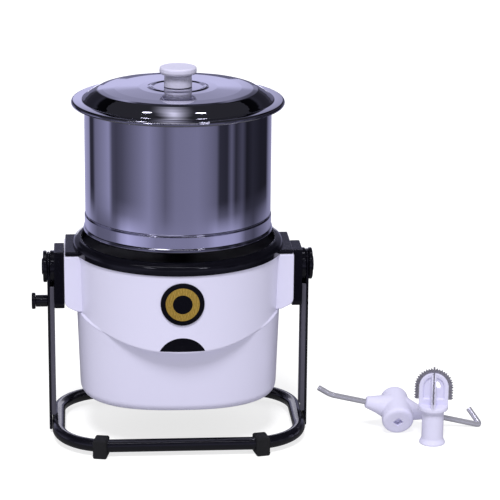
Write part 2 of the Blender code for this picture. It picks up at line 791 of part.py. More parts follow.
def seam_ring(inset, lift):
    """A ring at the level where the two mouldings meet. The undercut fades where the bulge doesn't stand out."""
    points = []
    for index in range(FINE_STEPS):
        angle = FULL_TURN * index / FINE_STEPS
        x, y = lower_body(0)(angle)
        full = overhang(x, y)[1]
        points.append((*lower_body(inset)(angle), lip_height(x) + LIP_UNDERCUT * full + lift))
    return points


def nose_ring():
    """The lip's lowest edge, just short of the bulge's side."""
    points = []
    for index in range(FINE_STEPS):
        x, y = lower_body(0)(FULL_TURN * index / FINE_STEPS)
        gap, full = overhang(x, y)
        grow = 1 + max(gap - LIP_NOSE, MERGE) / math.hypot(x, y)
        points.append((x * grow, y * grow, lip_height(x) + LIP_NOSE / 2 * (1 - full)))
    return points


def lower_rings():
    """From the bottom edge up the outside, over the top edge, and down the inside to the ledge of the cover."""
    rings = []
    for index in range(CORNER_STEPS + 1):
        angle = FULL_TURN / 4 * index / CORNER_STEPS
        inset = BODY_EDGE_R * (1 - math.sin(angle))
        rings.append(level_ring(foot_body(inset), BODY_BOTTOM + BODY_EDGE_R * (1 - math.cos(angle))))
    ledge_bottom = BODY_BOTTOM + 2 * FIT + COVER_THICK
    ledge_top = ledge_bottom + BODY_WALL
    opening = BODY_EDGE_R + LEDGE_WIDTH
    return rings + [
        seam_ring(0, -FIT),
        seam_ring(BODY_WALL, -FIT),
        level_ring(foot_body(BODY_WALL), ledge_top + BODY_EDGE_R - BODY_WALL),
        level_ring(foot_body(BODY_EDGE_R - BODY_WALL), ledge_top),
        level_ring(foot_body(opening), ledge_top),
        level_ring(foot_body(opening), ledge_bottom),
        level_ring(foot_body(BODY_EDGE_R), ledge_bottom),
    ]


def upper_rings():
    """From the lower body's top edge out to the lip, up the bulge, over the top, and down the inside."""
    return [
        seam_ring(0, 0),
        nose_ring(),
        level_ring(bulge(BULGE_FOOT_R), lambda x: lip_height(x) + LIP_NOSE),
        level_ring(bulge(BULGE_TOP_R), BODY_TOP),
        level_ring(bulge(BULGE_TOP_R - BODY_WALL), BODY_TOP),
        level_ring(bulge(BULGE_FOOT_R - BODY_WALL), lambda x: lip_height(x) + LIP_UNDERCUT + BODY_WALL),
        seam_ring(BODY_WALL, BODY_WALL),
        seam_ring(BODY_WALL, 0),
    ]


def ear(side):
    outline = [
        (side * EAR_ROOT_X, BODY_TOP), (side * EAR_X, BODY_TOP), (side * EAR_X, EAR_SIDE_Z),
        (side * (EAR_X - EAR_EDGE), EAR_SIDE_Z - EAR_SLOPE),
        (side * (EAR_X - 3 * EAR_EDGE), EAR_FOOT_Z + EAR_FOOT_RISE), (side * EAR_ROOT_X, EAR_FOOT_Z),
    ]
    return prism(outline, -EAR_HALF_DEPTH, EAR_HALF_DEPTH, "Y")


def half_moon(margin):
    """The switch's outline, its chord at the bottom."""
    half = SWITCH_HALF_WIDTH
    radius = (half ** 2 + SWITCH_HEIGHT ** 2) / (2 * SWITCH_HEIGHT)
    centre = SWITCH_CHORD_Z + SWITCH_HEIGHT - radius
    start = math.degrees(math.asin((SWITCH_CHORD_Z - margin - centre) / (radius + margin)))
    return arc(0, centre, radius + margin, start, 180 - start, 2 * TINY_STEPS)


def bolt_hole(side):
    length = WEB_X - TAB_INNER_X
    start = side * (TAB_INNER_X - OVERRUN)
    return along_x(rod(BOLT_R + FIT, 0, length, TINY_STEPS), (start, 0, PIVOT_Z - BOLT_BELOW_PIVOT), side)


def gland_face():
    """Where the gland's flange stands: clear of the rear wall, which leans out as it rises."""
    wall_rise = (LIP_FRONT_Z - BODY_BOTTOM - BODY_EDGE_R)
    share = (GLAND_Z + GLAND_FLANGE_R - BODY_BOTTOM - BODY_EDGE_R) / wall_rise
    return BODY_FOOT_Y + (BODY_LIP_Y - BODY_FOOT_Y) * share + FIT


def make_housing(finishes, tilting):
    """Two mouldings that meet behind the lip: the upper one has the ears, which reach down into the lower one."""
    upper = add("housing_upper", stitch(upper_rings(), closed_loop=True), finishes["white_plastic"], tilting)
    lower = add("housing_lower", stitch(lower_rings(), closed_loop=True), finishes["white_plastic"], tilting)
    notch_depth = EAR_HALF_DEPTH + FIT
    for side in (-1, 1):
        join(upper, ear(side))
        inner, outer = sorted((side * (EAR_ROOT_X - FIT), side * EAR_X))
        cut(lower, block((inner, -notch_depth, EAR_FOOT_Z - FIT), (outer, notch_depth, BODY_TOP)))
    cut(upper, bolt_hole(-1), bolt_hole(1))
    switch_back = SWITCH_FACE_INSET + SWITCH_DEPTH + SWITCH_TRAVEL
    cut(upper, prism(half_moon(SWITCH_GAP), -BULGE_TOP_R - OVERRUN, -BULGE_FOOT_R + switch_back, "Y"))
    cut(lower, along_y(rod(GLAND_R + FIT, 0, 2 * GLAND_LENGTH), (0, gland_face() - GLAND_LENGTH, GLAND_Z)))


def make_bottom_cover(finishes, tilting):
    outline = [foot_body(BODY_EDGE_R + COVER_INSET)(FULL_TURN * k / ROUND_STEPS) for k in range(ROUND_STEPS)]
    bottom = BODY_BOTTOM + FIT
    add("bottom_cover", prism(outline, bottom, bottom + COVER_THICK, "Z"), finishes["black_plastic"], tilting)


def make_collar(finishes, tilting):
    low = COLLAR_BOTTOM
    top = low + COLLAR_HEIGHT
    shoulder = low + COLLAR_SIDE
    pan = low + PAN_RISE
    profile = [(CHASSIS_HOLE_R, pan), (WELL_R - PAN_THICK, pan), (WELL_R - PAN_THICK, low), (COLLAR_R, low)]
    reach = COLLAR_R - COLLAR_LIP_R
    for index in range(CORNER_STEPS + 1):
        angle = FULL_TURN / 4 * index / CORNER_STEPS
        profile.append((COLLAR_LIP_R + reach * math.cos(angle), shoulder + (top - shoulder) * math.sin(angle)))
    profile += [(WELL_R, top - PAN_THICK / 2), (WELL_R, pan + PAN_THICK), (CHASSIS_HOLE_R, pan + PAN_THICK)]
    collar = add("collar", turned(profile, FINE_STEPS), finishes["black_plastic"], tilting)
    for side in (-1, 1):
        inner, outer = sorted((side * WING_ROOT_X, side * WING_X))
        join(collar, block((inner, -WING_HALF_DEPTH, low), (outer, WING_HALF_DEPTH, low + WING_HEIGHT)))


def make_bracket(name, side, finishes, tilting):
    half = BRACKET_HALF_DEPTH
    edge = BRACKET_EDGE_R
    low = BRACKET_BOTTOM
    outline = [(half, BODY_TOP), (-half, BODY_TOP)]
    outline += arc(-half + edge, low + edge, edge, 180, 270, CORNER_STEPS)
    outline += arc(half - edge, low + edge, edge, 270, 360, CORNER_STEPS)
    bracket = add(
        name, prism(outline, side * BRACKET_X, side * BRACKET_FACE_X, "X"), finishes["black_plastic"], tilting
    )
    boss_foot = (BRACKET_X + BRACKET_FACE_X) / 2
    join(bracket, along_x(rod(PIVOT_BOSS_R, 0, BOSS_FACE_X - boss_foot), (side * boss_foot, 0, PIVOT_Z), side))
    bush_foot = WEB_OUTER_X - PIN_LENGTH - FIT
    bush_hole = rod(BUSH_R + FIT, 0, WEB_OUTER_X - bush_foot)
    sink = BRACKET_FACE_X - BOLT_HEAD_THICK - FIT
    shank_r = BOLT_R + FIT
    head_r = BOLT_HEAD_R + FIT
    recess = turned([
        (0, EAR_ROOT_X), (shank_r, EAR_ROOT_X), (shank_r, sink), (head_r, sink), (head_r, WEB_X), (0, WEB_X),
    ], TINY_STEPS)
    cut(bracket, gather([
        along_x(bush_hole, (side * bush_foot, 0, PIVOT_Z), side),
        along_x(recess, (0, 0, PIVOT_Z - BOLT_BELOW_PIVOT), side),
    ]))


def make_bush_and_bolt(name_side, side, finishes, tilting):
    bush_foot = WEB_OUTER_X - PIN_LENGTH
    bush = ring(PIN_R + FIT, BUSH_R, 0, BOSS_FACE_X - bush_foot)
    add("pivot_bush_" + name_side, along_x(bush, (side * bush_foot, 0, PIVOT_Z), side), finishes["nylon"], tilting)
    nut_end = TAB_INNER_X - FIT
    head = BRACKET_FACE_X - BOLT_HEAD_THICK
    profile = [
        (0, nut_end - NUT_THICK), (BOLT_HEAD_R, nut_end - NUT_THICK), (BOLT_HEAD_R, nut_end), (BOLT_R, nut_end),
        (BOLT_R, head), (BOLT_HEAD_R, head), (BOLT_HEAD_R, head + BOLT_HEAD_THICK - FIT),
        (0, head + BOLT_HEAD_THICK - FIT),
    ]
    bolt = along_x(turned(profile, TINY_STEPS), (0, 0, PIVOT_Z - BOLT_BELOW_PIVOT), side)
    add("trunnion_bolt_" + name_side, bolt, finishes["zinc"], tilting)


def make_chassis(finishes, tilting):
    plate = ring(CHASSIS_HOLE_R, CHASSIS_R, CHASSIS_BOTTOM, CHASSIS_TOP, ROUND_STEPS)
    chassis = add("chassis_plate", plate, finishes["zinc"], tilting)
    for side in (-1, 1):
        inner, outer = sorted((side * TAB_INNER_X, side * TAB_X))
        tab = block((inner, -TAB_HALF_DEPTH, CHASSIS_TOP - TAB_DROP), (outer, TAB_HALF_DEPTH, CHASSIS_TOP - FIT))
        join(chassis, tab)
        cut(chassis, bolt_hole(side))
    half = POST_BRACKET_SPAN
    sheet = POST_BRACKET_SHEET
    top = CHASSIS_BOTTOM - FIT
    floor = POST_WEB_TOP
    outline = [
        (-half, top), (-half, floor - sheet), (half, floor - sheet), (half, top), (half - sheet, top),
        (half - sheet, floor), (sheet - half, floor), (sheet - half, top),
    ]
    width = POST_BRACKET_WIDTH / 2
    bracket = add("post_bracket", prism(outline, -width, width, "X"), finishes["zinc"], tilting)
    cut(bracket, rod(POST_SHANK_R + FIT, floor - sheet - OVERRUN, floor + OVERRUN))


def make_post(finishes, tilting):
    shoulder = POST_WEB_TOP + FIT
    nut_top = POST_WEB_TOP - POST_BRACKET_SHEET - FIT
    nut_low = nut_top - POST_NUT_THICK
    top = POST_TOP + SQUARE_HEIGHT
    profile = [
        (0, nut_low - POST_END), (POST_SHANK_R, nut_low - POST_END), (POST_SHANK_R, shoulder),
        (POST_SHOULDER_R, shoulder), (POST_SHOULDER_R, HUB_BOTTOM + FIT), (POST_R, HUB_BOTTOM + FIT),
        (POST_R, POST_TOP), (THREAD_R, POST_TOP), (THREAD_R, top + THREAD_HEIGHT),
        (0, top + THREAD_HEIGHT),
    ]
    post = add("centre_post", turned(profile, SMALL_STEPS), finishes["steel"], tilting)
    half = POST_SQUARE / 2
    join(post, block((-half, -half, POST_TOP - FIT), (half, half, top)))
    hexagon = arc(0, 0, POST_NUT_R, 0, 360 - 360 / HEX_SIDES, HEX_SIDES - 1)
    nut = add("post_nut", prism(hexagon, nut_low, nut_top, "Z"), finishes["zinc"], tilting)
    cut(nut, rod(POST_SHANK_R + FIT, nut_low - OVERRUN, nut_top + OVERRUN))


def belt_line(margin):
    """The belt's path round both pulleys, at a margin outside their grooves."""
    big = DRUM_PULLEY_R + margin
    small = MOTOR_PULLEY_R + margin
    lean = math.degrees(math.acos((DRUM_PULLEY_R - MOTOR_PULLEY_R) / MOTOR_X))
    outline = arc(MOTOR_X, 0, small, -lean, lean, CORNER_STEPS + 1)
    outline += arc(0, 0, big, lean, 360 - lean, SMALL_STEPS)
    return outline


def make_drive(finishes, tilting):
    low = BELT_Z - BELT_WIDTH / 2
    high = BELT_Z + BELT_WIDTH / 2
    inner = belt_line(2 * FIT)
    outer = belt_line(2 * FIT + BELT_THICK)
    rings = [
        [(x, y, z) for x, y in line]
        for line, z in ((inner, low), (outer, low), (outer, high), (inner, high))
    ]
    add("drive_belt", stitch(rings, closed_loop=True), finishes["rubber"], tilting)


def make_motor(finishes, tilting, motor_axis):
    place = (MOTOR_X, 0, 0)
    bore = SHAFT_R + RUN_GAP
    low = MOTOR_BOTTOM
    top = MOTOR_TOP
    profile = [
        (bore, low), (MOTOR_R, low), (MOTOR_R, top), (bore, top), (bore, top - MOTOR_END_THICK),
        (MOTOR_CAVITY_R, top - MOTOR_END_THICK), (MOTOR_CAVITY_R, low + MOTOR_END_THICK),
        (bore, low + MOTOR_END_THICK),
    ]
    frame = add("motor_frame", moved(turned(profile, ROUND_STEPS), place), finishes["motor_core"], tilting)
    mount_top = CHASSIS_BOTTOM - FIT
    mount_low = mount_top - MOUNT_THICK
    flange = ring(STUD_CIRCLE_R - MOUNT_HALF, STUD_CIRCLE_R + MOUNT_HALF, mount_low, mount_top, ROUND_STEPS)
    legs = []
    for angle in STUD_ANGLES:
        x = MOTOR_X + STUD_CIRCLE_R * math.cos(math.radians(angle))
        y = STUD_CIRCLE_R * math.sin(math.radians(angle))
        leg_low = top - MOTOR_END_THICK / 2
        legs.append(moved(rod(STUD_R, leg_low, mount_low + MOUNT_THICK / 2, TINY_STEPS), (x, y, 0)))
    join(frame, gather(legs), moved(flange, place))
    core_low = low + MOTOR_END_THICK + ROTOR_CORE_GAP
    core_high = top - MOTOR_END_THICK - ROTOR_CORE_GAP
    shaft = [
        (0, SHAFT_BOTTOM), (SHAFT_R, SHAFT_BOTTOM), (SHAFT_R, core_low), (ROTOR_CORE_R, core_low),
        (ROTOR_CORE_R, core_high), (SHAFT_R, core_high), (SHAFT_R, SHAFT_TOP), (0, SHAFT_TOP),
    ]
    add("rotor_shaft", moved(turned(shaft, SMALL_STEPS), place), finishes["steel"], motor_axis)
    make_fan(finishes, motor_axis)
    hub = SHAFT_R + FIT
    cheek = MOTOR_PULLEY_R + MOTOR_PULLEY_FLANGE
    belt_low = BELT_Z - BELT_WIDTH / 2 - 2 * FIT
    belt_high = BELT_Z + BELT_WIDTH / 2 + 2 * FIT
    pulley = [
        (hub, belt_low - PULLEY_CHEEK), (cheek, belt_low - PULLEY_CHEEK), (cheek, belt_low),
        (MOTOR_PULLEY_R, belt_low), (MOTOR_PULLEY_R, belt_high), (cheek, belt_high),
        (cheek, belt_high + PULLEY_CHEEK), (hub, belt_high + PULLEY_CHEEK),
    ]
    add("motor_pulley", moved(turned(pulley, SMALL_STEPS), place), finishes["zinc"], motor_axis)


def make_fan(finishes, motor_axis):
    high = MOTOR_BOTTOM - FAN_BELOW_MOTOR
    low = high - FAN_HEIGHT
    inner = SHAFT_R + FIT
    profile = [
        (inner, low), (FAN_R, low), (FAN_R, low + FAN_DISC), (FAN_HUB_R, low + FAN_DISC), (FAN_HUB_R, high),
        (inner, high),
    ]
    fan = add("cooling_fan", moved(turned(profile, SMALL_STEPS), (MOTOR_X, 0, 0)), finishes["nylon"], motor_axis)
    half = FAN_BLADE_THICK / 2
    blades = []
    for index in range(FAN_BLADES):
        blade = block((FAN_HUB_R - OVERRUN / 2, -half, low + FAN_DISC / 2), (FAN_R - half, half, high))
        blades.append(moved(blade, (MOTOR_X, 0, 0), turn_about("Z", FULL_TURN * index / FAN_BLADES)))
    join(fan, gather(blades))


def make_electrics(finishes, tilting):
    low = BODY_BOTTOM + 2 * FIT + COVER_THICK
    edge = CAPACITOR_EDGE
    high = low + CAPACITOR_HEIGHT
    profile = [
        (0, low), (CAPACITOR_R, low), (CAPACITOR_R, high - edge), (CAPACITOR_R - edge, high), (0, high),
    ]
    add("capacitor", moved(turned(profile, SMALL_STEPS), (CAPACITOR_X, 0, 0)), finishes["nylon"], tilting)
    face = gland_face()
    back = -GLAND_LENGTH + GLAND_FLANGE_THICK
    gland = [
        (GLAND_BORE_R, back), (GLAND_R, back), (GLAND_R, 0), (GLAND_FLANGE_R, 0),
        (GLAND_FLANGE_R, GLAND_FLANGE_THICK), (GLAND_BORE_R, GLAND_FLANGE_THICK),
    ]
    add("cable_gland", along_y(turned(gland, SMALL_STEPS), (0, face, GLAND_Z)), finishes["black_plastic"], tilting)


def make_switch(finishes, tilting, switch_axis):
    face_r = BULGE_FOOT_R - SWITCH_FACE_INSET
    back = -BULGE_FOOT_R + SWITCH_FACE_INSET + SWITCH_DEPTH
    button = add(
        "switch_button", prism(half_moon(0), -BULGE_TOP_R - OVERRUN, back, "Y"), finishes["black_plastic"],
        switch_axis,
    )
    keep_inside(button, rod(face_r, SWITCH_CHORD_Z - OVERRUN, SWITCH_CHORD_Z + SWITCH_HEIGHT + OVERRUN, FINE_STEPS))
    plate_y = back + SWITCH_TRAVEL + RUN_GAP
    low = SWITCH_CHORD_Z + SWITCH_PLATE_RISE
    wall = (BULGE_FOOT_R - BODY_WALL) * math.cos(HALF_FACET)
    reach = math.sqrt(wall ** 2 - plate_y ** 2) - 2 * FIT
    body = add(
        "switch_body",
        block((-reach, plate_y, low), (reach, plate_y + SWITCH_PLATE_THICK, low + SWITCH_PLATE_HEIGHT)),
        finishes["black_plastic"],
        tilting,
    )
    half = SWITCH_BODY_HALF_WIDTH
    join(body, block(
        (-half, plate_y + SWITCH_PLATE_THICK / 2, low + FIT),
        (half, plate_y + SWITCH_BODY_DEPTH, low + SWITCH_BODY_HEIGHT),
    ))


def curved_badge(name, outer, inner, base_r, thick, material, tilting):
    """A round plate, or a ring, bent round the housing's bulge."""
    front = -base_r - thick - OVERRUN
    back = OVERRUN - math.sqrt(base_r ** 2 - outer ** 2)
    outline = arc(0, BADGE_Z, outer, 0, 360 - 360 / ROUND_STEPS, ROUND_STEPS - 1)
    badge = add(name, prism(outline, front, back, "Y"), material, tilting)
    sleeve = ring(base_r, base_r + thick, BADGE_Z - outer - OVERRUN, BADGE_Z + outer + OVERRUN, FINE_STEPS)
    keep_inside(badge, sleeve)
    if inner:
        hole = arc(0, BADGE_Z, inner, 0, 360 - 360 / ROUND_STEPS, ROUND_STEPS - 1)
        cut(badge, prism(hole, front - OVERRUN, back + OVERRUN, "Y"))


# Drum

def make_drum(finishes, drum_axis):
    low = DRUM_BOTTOM
    foot = low + DRUM_FOOT_HEIGHT
    band = low + BAND_HEIGHT
    groove = band + 2 * GROOVE_HALF
    rim = DRUM_TOP - RIM_HEIGHT
    base = [
        (HUB_R + FIT, low), (DRUM_FOOT_R - DRUM_WALL, low), (DRUM_FOOT_R, low + DRUM_FOOT_HEIGHT / 2),
        (DRUM_FOOT_R - DRUM_WALL, foot), (BAND_R, foot + DRUM_WALL), (BAND_R, band - GROOVE_HALF),
        (GROOVE_R, band), (DRUM_INNER_R, band), (DRUM_INNER_R, low + FLOOR_THICK), (HUB_R + FIT, low + FLOOR_THICK),
    ]
    add("drum_base", turned(base, FINE_STEPS), finishes["mirror_steel"], drum_axis)
    wall = [
        (GROOVE_R, band + FIT), (GROOVE_R, groove - GROOVE_HALF), (DRUM_R, groove), (DRUM_R, rim),
        (RIM_R, rim + RIM_EDGE), (RIM_R, DRUM_TOP - RIM_EDGE), (RIM_R - DRUM_WALL, DRUM_TOP),
        (DRUM_INNER_R, DRUM_TOP), (DRUM_INNER_R, band + FIT),
    ]
    add("drum_wall", turned(wall, FINE_STEPS), finishes["mirror_steel"], drum_axis)
    edge = STONE_EDGE
    bottom = FLOOR_TOP + FIT
    stone = [
        (STONE_BORE_R, bottom), (STONE_R, bottom), (STONE_R, STONE_TOP - edge), (STONE_R - edge, STONE_TOP),
        (STONE_BORE_R, STONE_TOP),
    ]
    add("base_stone", turned(stone, ROUND_STEPS), finishes["granite"], drum_axis)
    flange_top = DRUM_BOTTOM - FIT
    flange_low = flange_top - HUB_FLANGE_THICK
    hub = [
        (HUB_BORE_R, HUB_BOTTOM), (HUB_R, HUB_BOTTOM), (HUB_R, flange_low), (HUB_FLANGE_R, flange_low),
        (HUB_FLANGE_R, flange_top), (HUB_R, flange_top), (HUB_R, HUB_TOP), (HUB_BORE_R, HUB_TOP),
    ]
    add("drum_hub", turned(hub, ROUND_STEPS), finishes["steel"], drum_axis)
    for name_end, bottom in (("lower", HUB_BOTTOM + 2 * FIT), ("upper", HUB_TOP - BEARING_HEIGHT)):
        bearing = ring(BEARING_BORE_R, BEARING_R, bottom, bottom + BEARING_HEIGHT)
        add("hub_bearing_" + name_end, bearing, finishes["steel"], drum_axis)
    make_drum_pulley(finishes, drum_axis)


def make_drum_pulley(finishes, drum_axis):
    bore = HUB_R + FIT
    rim_low = BELT_Z - BELT_WIDTH / 2 - 2 * FIT
    rim_high = BELT_Z + BELT_WIDTH / 2 + 2 * FIT
    cheek = DRUM_PULLEY_R + DRUM_PULLEY_FLANGE
    inside = DRUM_PULLEY_R - PULLEY_CHEEK
    web_low = BELT_Z - PULLEY_WEB / 2
    web_high = BELT_Z + PULLEY_WEB / 2
    low = rim_low - PULLEY_CHEEK
    high = rim_high + PULLEY_CHEEK
    profile = [
        (bore, low), (DRUM_PULLEY_BOSS_R, low), (DRUM_PULLEY_BOSS_R, web_low), (inside, web_low), (inside, low),
        (cheek, low), (cheek, rim_low), (DRUM_PULLEY_R, rim_low), (DRUM_PULLEY_R, rim_high), (cheek, rim_high),
        (cheek, high), (inside, high), (inside, web_high), (DRUM_PULLEY_BOSS_R, web_high),
        (DRUM_PULLEY_BOSS_R, high), (bore, high),
    ]
    add("drum_pulley", turned(profile, ROUND_STEPS), finishes["nylon"], drum_axis)


# Stone unit

def on_cone_axis(bm, side):
    """Lays a shape that stands on Z along a roller's axis, which starts where the drum axis meets the stone."""
    lean = FULL_TURN / 4 - CONE_ANGLE
    return moved(bm, (0, 0, APEX_Z), turn_about("Y", side * lean))


def roller_near():
    return CONE_NEAR * math.cos(CONE_ANGLE)


def roller_far():
    return CONE_FAR * math.cos(CONE_ANGLE)


def make_roller(name, side, finishes, roller_axis):
    near = roller_near()
    far = roller_far()
    slope = math.tan(CONE_ANGLE)
    edge = CONE_EDGE
    bore = AXLE_R + RUN_GAP
    profile = [
        (bore, near), (near * slope, near), ((far - edge) * slope, far - edge), (far * slope - edge, far),
        (bore, far),
    ]
    add(name, on_cone_axis(turned(profile, ROUND_STEPS), side), finishes["granite"], roller_axis)


def make_stone_unit(finishes, unit_axis):
    near = roller_near()
    far = roller_far()
    arm_near = far + ARM_GAP
    arm_far = arm_near + ARM_THICK
    nut_far = arm_far + FIT + AXLE_NUT_THICK
    holder = add(
        "stone_holder", rod(HOLDER_R, HOLDER_BOTTOM, HOLDER_BOTTOM + HOLDER_HEIGHT), finishes["black_plastic"],
        unit_axis,
    )
    half = ARM_WIDTH / 2
    bar_top = BAR_BOTTOM + ARM_THICK
    # Each arm stands square to its axle, and its top is cut level with the bar's.
    drop = math.sin(CONE_ANGLE)
    level = math.cos(CONE_ANGLE)
    reach = (bar_top - APEX_Z - arm_near * drop) / level
    lean = drop / level * ARM_THICK
    bar_half = arm_far * level - (reach - lean) * drop + BAR_OVERHANG
    join(holder, block((-bar_half, -half, BAR_BOTTOM), (bar_half, half, bar_top)))
    for side in (-1, 1):
        outline = [
            (-ARM_BELOW_AXLE, arm_near), (reach, arm_near), (reach - lean, arm_far), (-ARM_BELOW_AXLE, arm_far),
        ]
        plate = prism([(-side * u, v) for u, v in outline], -half, half, "Y")
        join(holder, on_cone_axis(plate, side))
        cut(holder, on_cone_axis(rod(AXLE_R + FIT, near, nut_far + OVERRUN), side))
    side_half = SOCKET_SIDE / 2
    top = HOLDER_BOTTOM + HOLDER_HEIGHT
    cut(holder, block((-side_half, -side_half, HOLDER_BOTTOM - OVERRUN), (side_half, side_half, top + OVERRUN)))
    head = near - AXLE_HEAD_THICK - FIT
    axle = [
        (0, head), (AXLE_HEAD_R, head), (AXLE_HEAD_R, head + AXLE_HEAD_THICK), (AXLE_R, head + AXLE_HEAD_THICK),
        (AXLE_R, arm_far + FIT), (AXLE_HEAD_R, arm_far + FIT), (AXLE_HEAD_R, nut_far), (0, nut_far),
    ]
    for name_side, side in (("left", -1), ("right", 1)):
        shape = on_cone_axis(turned(axle, SMALL_STEPS), side)
        add("roller_axle_" + name_side, shape, finishes["steel"], unit_axis)
    make_wiper(finishes, unit_axis)


def make_wiper(finishes, unit_axis):
    half = WIPER_WIDTH / 2
    blade_face = -DRUM_INNER_R + BLADE_GAP
    blade_back = blade_face + BLADE_THICK
    sheet = WIPER_SHEET
    level = HOLDER_BOTTOM + WIPER_RISE
    low = STONE_TOP + BLADE_LOW_GAP
    stem = blade_back + FIT + sheet
    outline = [
        (-HOLDER_R - FIT, level), (-HOLDER_R - FIT, level + sheet), (stem - sheet, level + sheet),
        (stem - sheet, low + sheet), (stem, low + sheet), (stem, level),
    ]
    add("wiper_arm", prism(outline, -half, half, "X"), finishes["steel"], unit_axis)
    wide = BLADE_WIDTH / 2
    blade = block((-wide, blade_face, low), (wide, blade_back, low + BLADE_HEIGHT))
    add("wiper_blade", blade, finishes["nylon"], unit_axis)


def make_holder_knob(finishes, knob_axis):
    low = HOLDER_BOTTOM + HOLDER_HEIGHT + FIT
    bore = THREAD_R + RUN_GAP
    bore_top = POST_TOP + SQUARE_HEIGHT + THREAD_HEIGHT + RUN_GAP
    high = low + KNOB_HEIGHT
    profile = [
        (bore, low), (KNOB_FOOT_R, low), (KNOB_R, low + KNOB_SKIRT), (KNOB_R, high - KNOB_EDGE),
        (KNOB_R - KNOB_EDGE, high), (0, high), (0, bore_top), (bore, bore_top),
    ]
    knob = add("holder_knob", turned_capped(profile, SMALL_STEPS), finishes["black_plastic"], knob_axis)
    flutes = []
    for index in range(KNOB_LOBES):
        angle = FULL_TURN * index / KNOB_LOBES
        flute = rod(FLUTE_R, low - OVERRUN, high + OVERRUN, TINY_STEPS)
        flutes.append(moved(flute, (FLUTE_CIRCLE_R * math.cos(angle), FLUTE_CIRCLE_R * math.sin(angle), 0)))
    cut(knob, gather(flutes))


# Lid

def lid_profile():
    """The sheet's outer face from the middle to the hem, then its underside back to the middle."""
    top = LID_TOP
    flange = LID_FLANGE_Z
    half = RIDGE_HALF
    middle = (LID_FLAT_R + LID_SHOULDER_R) / 2
    outer = [
        (LID_SCREW_R + FIT, top), (RIDGE_R - half, top), (RIDGE_R, top + RIDGE_HEIGHT), (RIDGE_R + half, top),
        (LID_FLAT_R, top), (middle, top - LID_BREAK_DROP), (LID_SHOULDER_R, top - LID_SHOULDER_DROP),
        (LID_FLANGE_R, flange),
    ]
    sheet = LID_SHEET
    hem = arc(LID_R - LID_HEM_R, flange - LID_HEM_R, LID_HEM_R, 90, -180, CORNER_STEPS + 1)
    inner = [
        (LID_R - 2 * LID_HEM_R, flange - sheet),
        (LID_FLANGE_R - sheet / 2, flange - sheet),
        (LID_SHOULDER_R - sheet, top - LID_SHOULDER_DROP - sheet / 2),
        (middle - sheet / 2, top - LID_BREAK_DROP - sheet), (LID_FLAT_R, top - sheet),
        (RIDGE_R + half, top - sheet), (RIDGE_R, top + RIDGE_HEIGHT - sheet), (RIDGE_R - half, top - sheet),
        (LID_SCREW_R + FIT, top - sheet),
    ]
    return outer + hem + inner


def make_lid(finishes, lid_axis):
    add("lid_shell", turned(lid_profile(), FINE_STEPS), finishes["mirror_steel"], lid_axis)
    low = LID_TOP + FIT
    neck = low + LID_KNOB_NECK_HEIGHT
    high = low + LID_KNOB_HEIGHT
    edge = LID_KNOB_EDGE
    bore = LID_SCREW_R + FIT
    bore_top = low + LID_SCREW_LENGTH
    knob = [
        (bore, low), (LID_KNOB_NECK_R, low), (LID_KNOB_NECK_R, neck), (LID_KNOB_R - edge / 2, neck),
        (LID_KNOB_R, neck + edge / 2), (LID_KNOB_R, high - edge), (LID_KNOB_R - edge, high), (0, high),
        (0, bore_top), (bore, bore_top),
    ]
    add("lid_knob", turned_capped(knob, ROUND_STEPS), finishes["white_plastic"], lid_axis)
    head_top = LID_TOP - LID_SHEET - FIT
    head_low = head_top - LID_SCREW_HEAD_THICK
    screw_top = bore_top - FIT
    screw = [
        (0, head_low), (LID_SCREW_HEAD_R, head_low), (LID_SCREW_HEAD_R, head_top), (LID_SCREW_R, head_top),
        (LID_SCREW_R, screw_top), (0, screw_top),
    ]
    add("lid_screw", turned(screw, TINY_STEPS), finishes["zinc"], lid_axis)


def turned_capped(profile, steps):
    """A turned shape whose profile meets the axis in its middle: the piece that lies on the axis isn't spun."""
    meets = [index for index, (radius, _) in enumerate(profile) if radius == 0]
    start = meets[-1]
    order = profile[start:] + profile[:meets[0] + 1]
    return turned(order, steps)


# Attachments

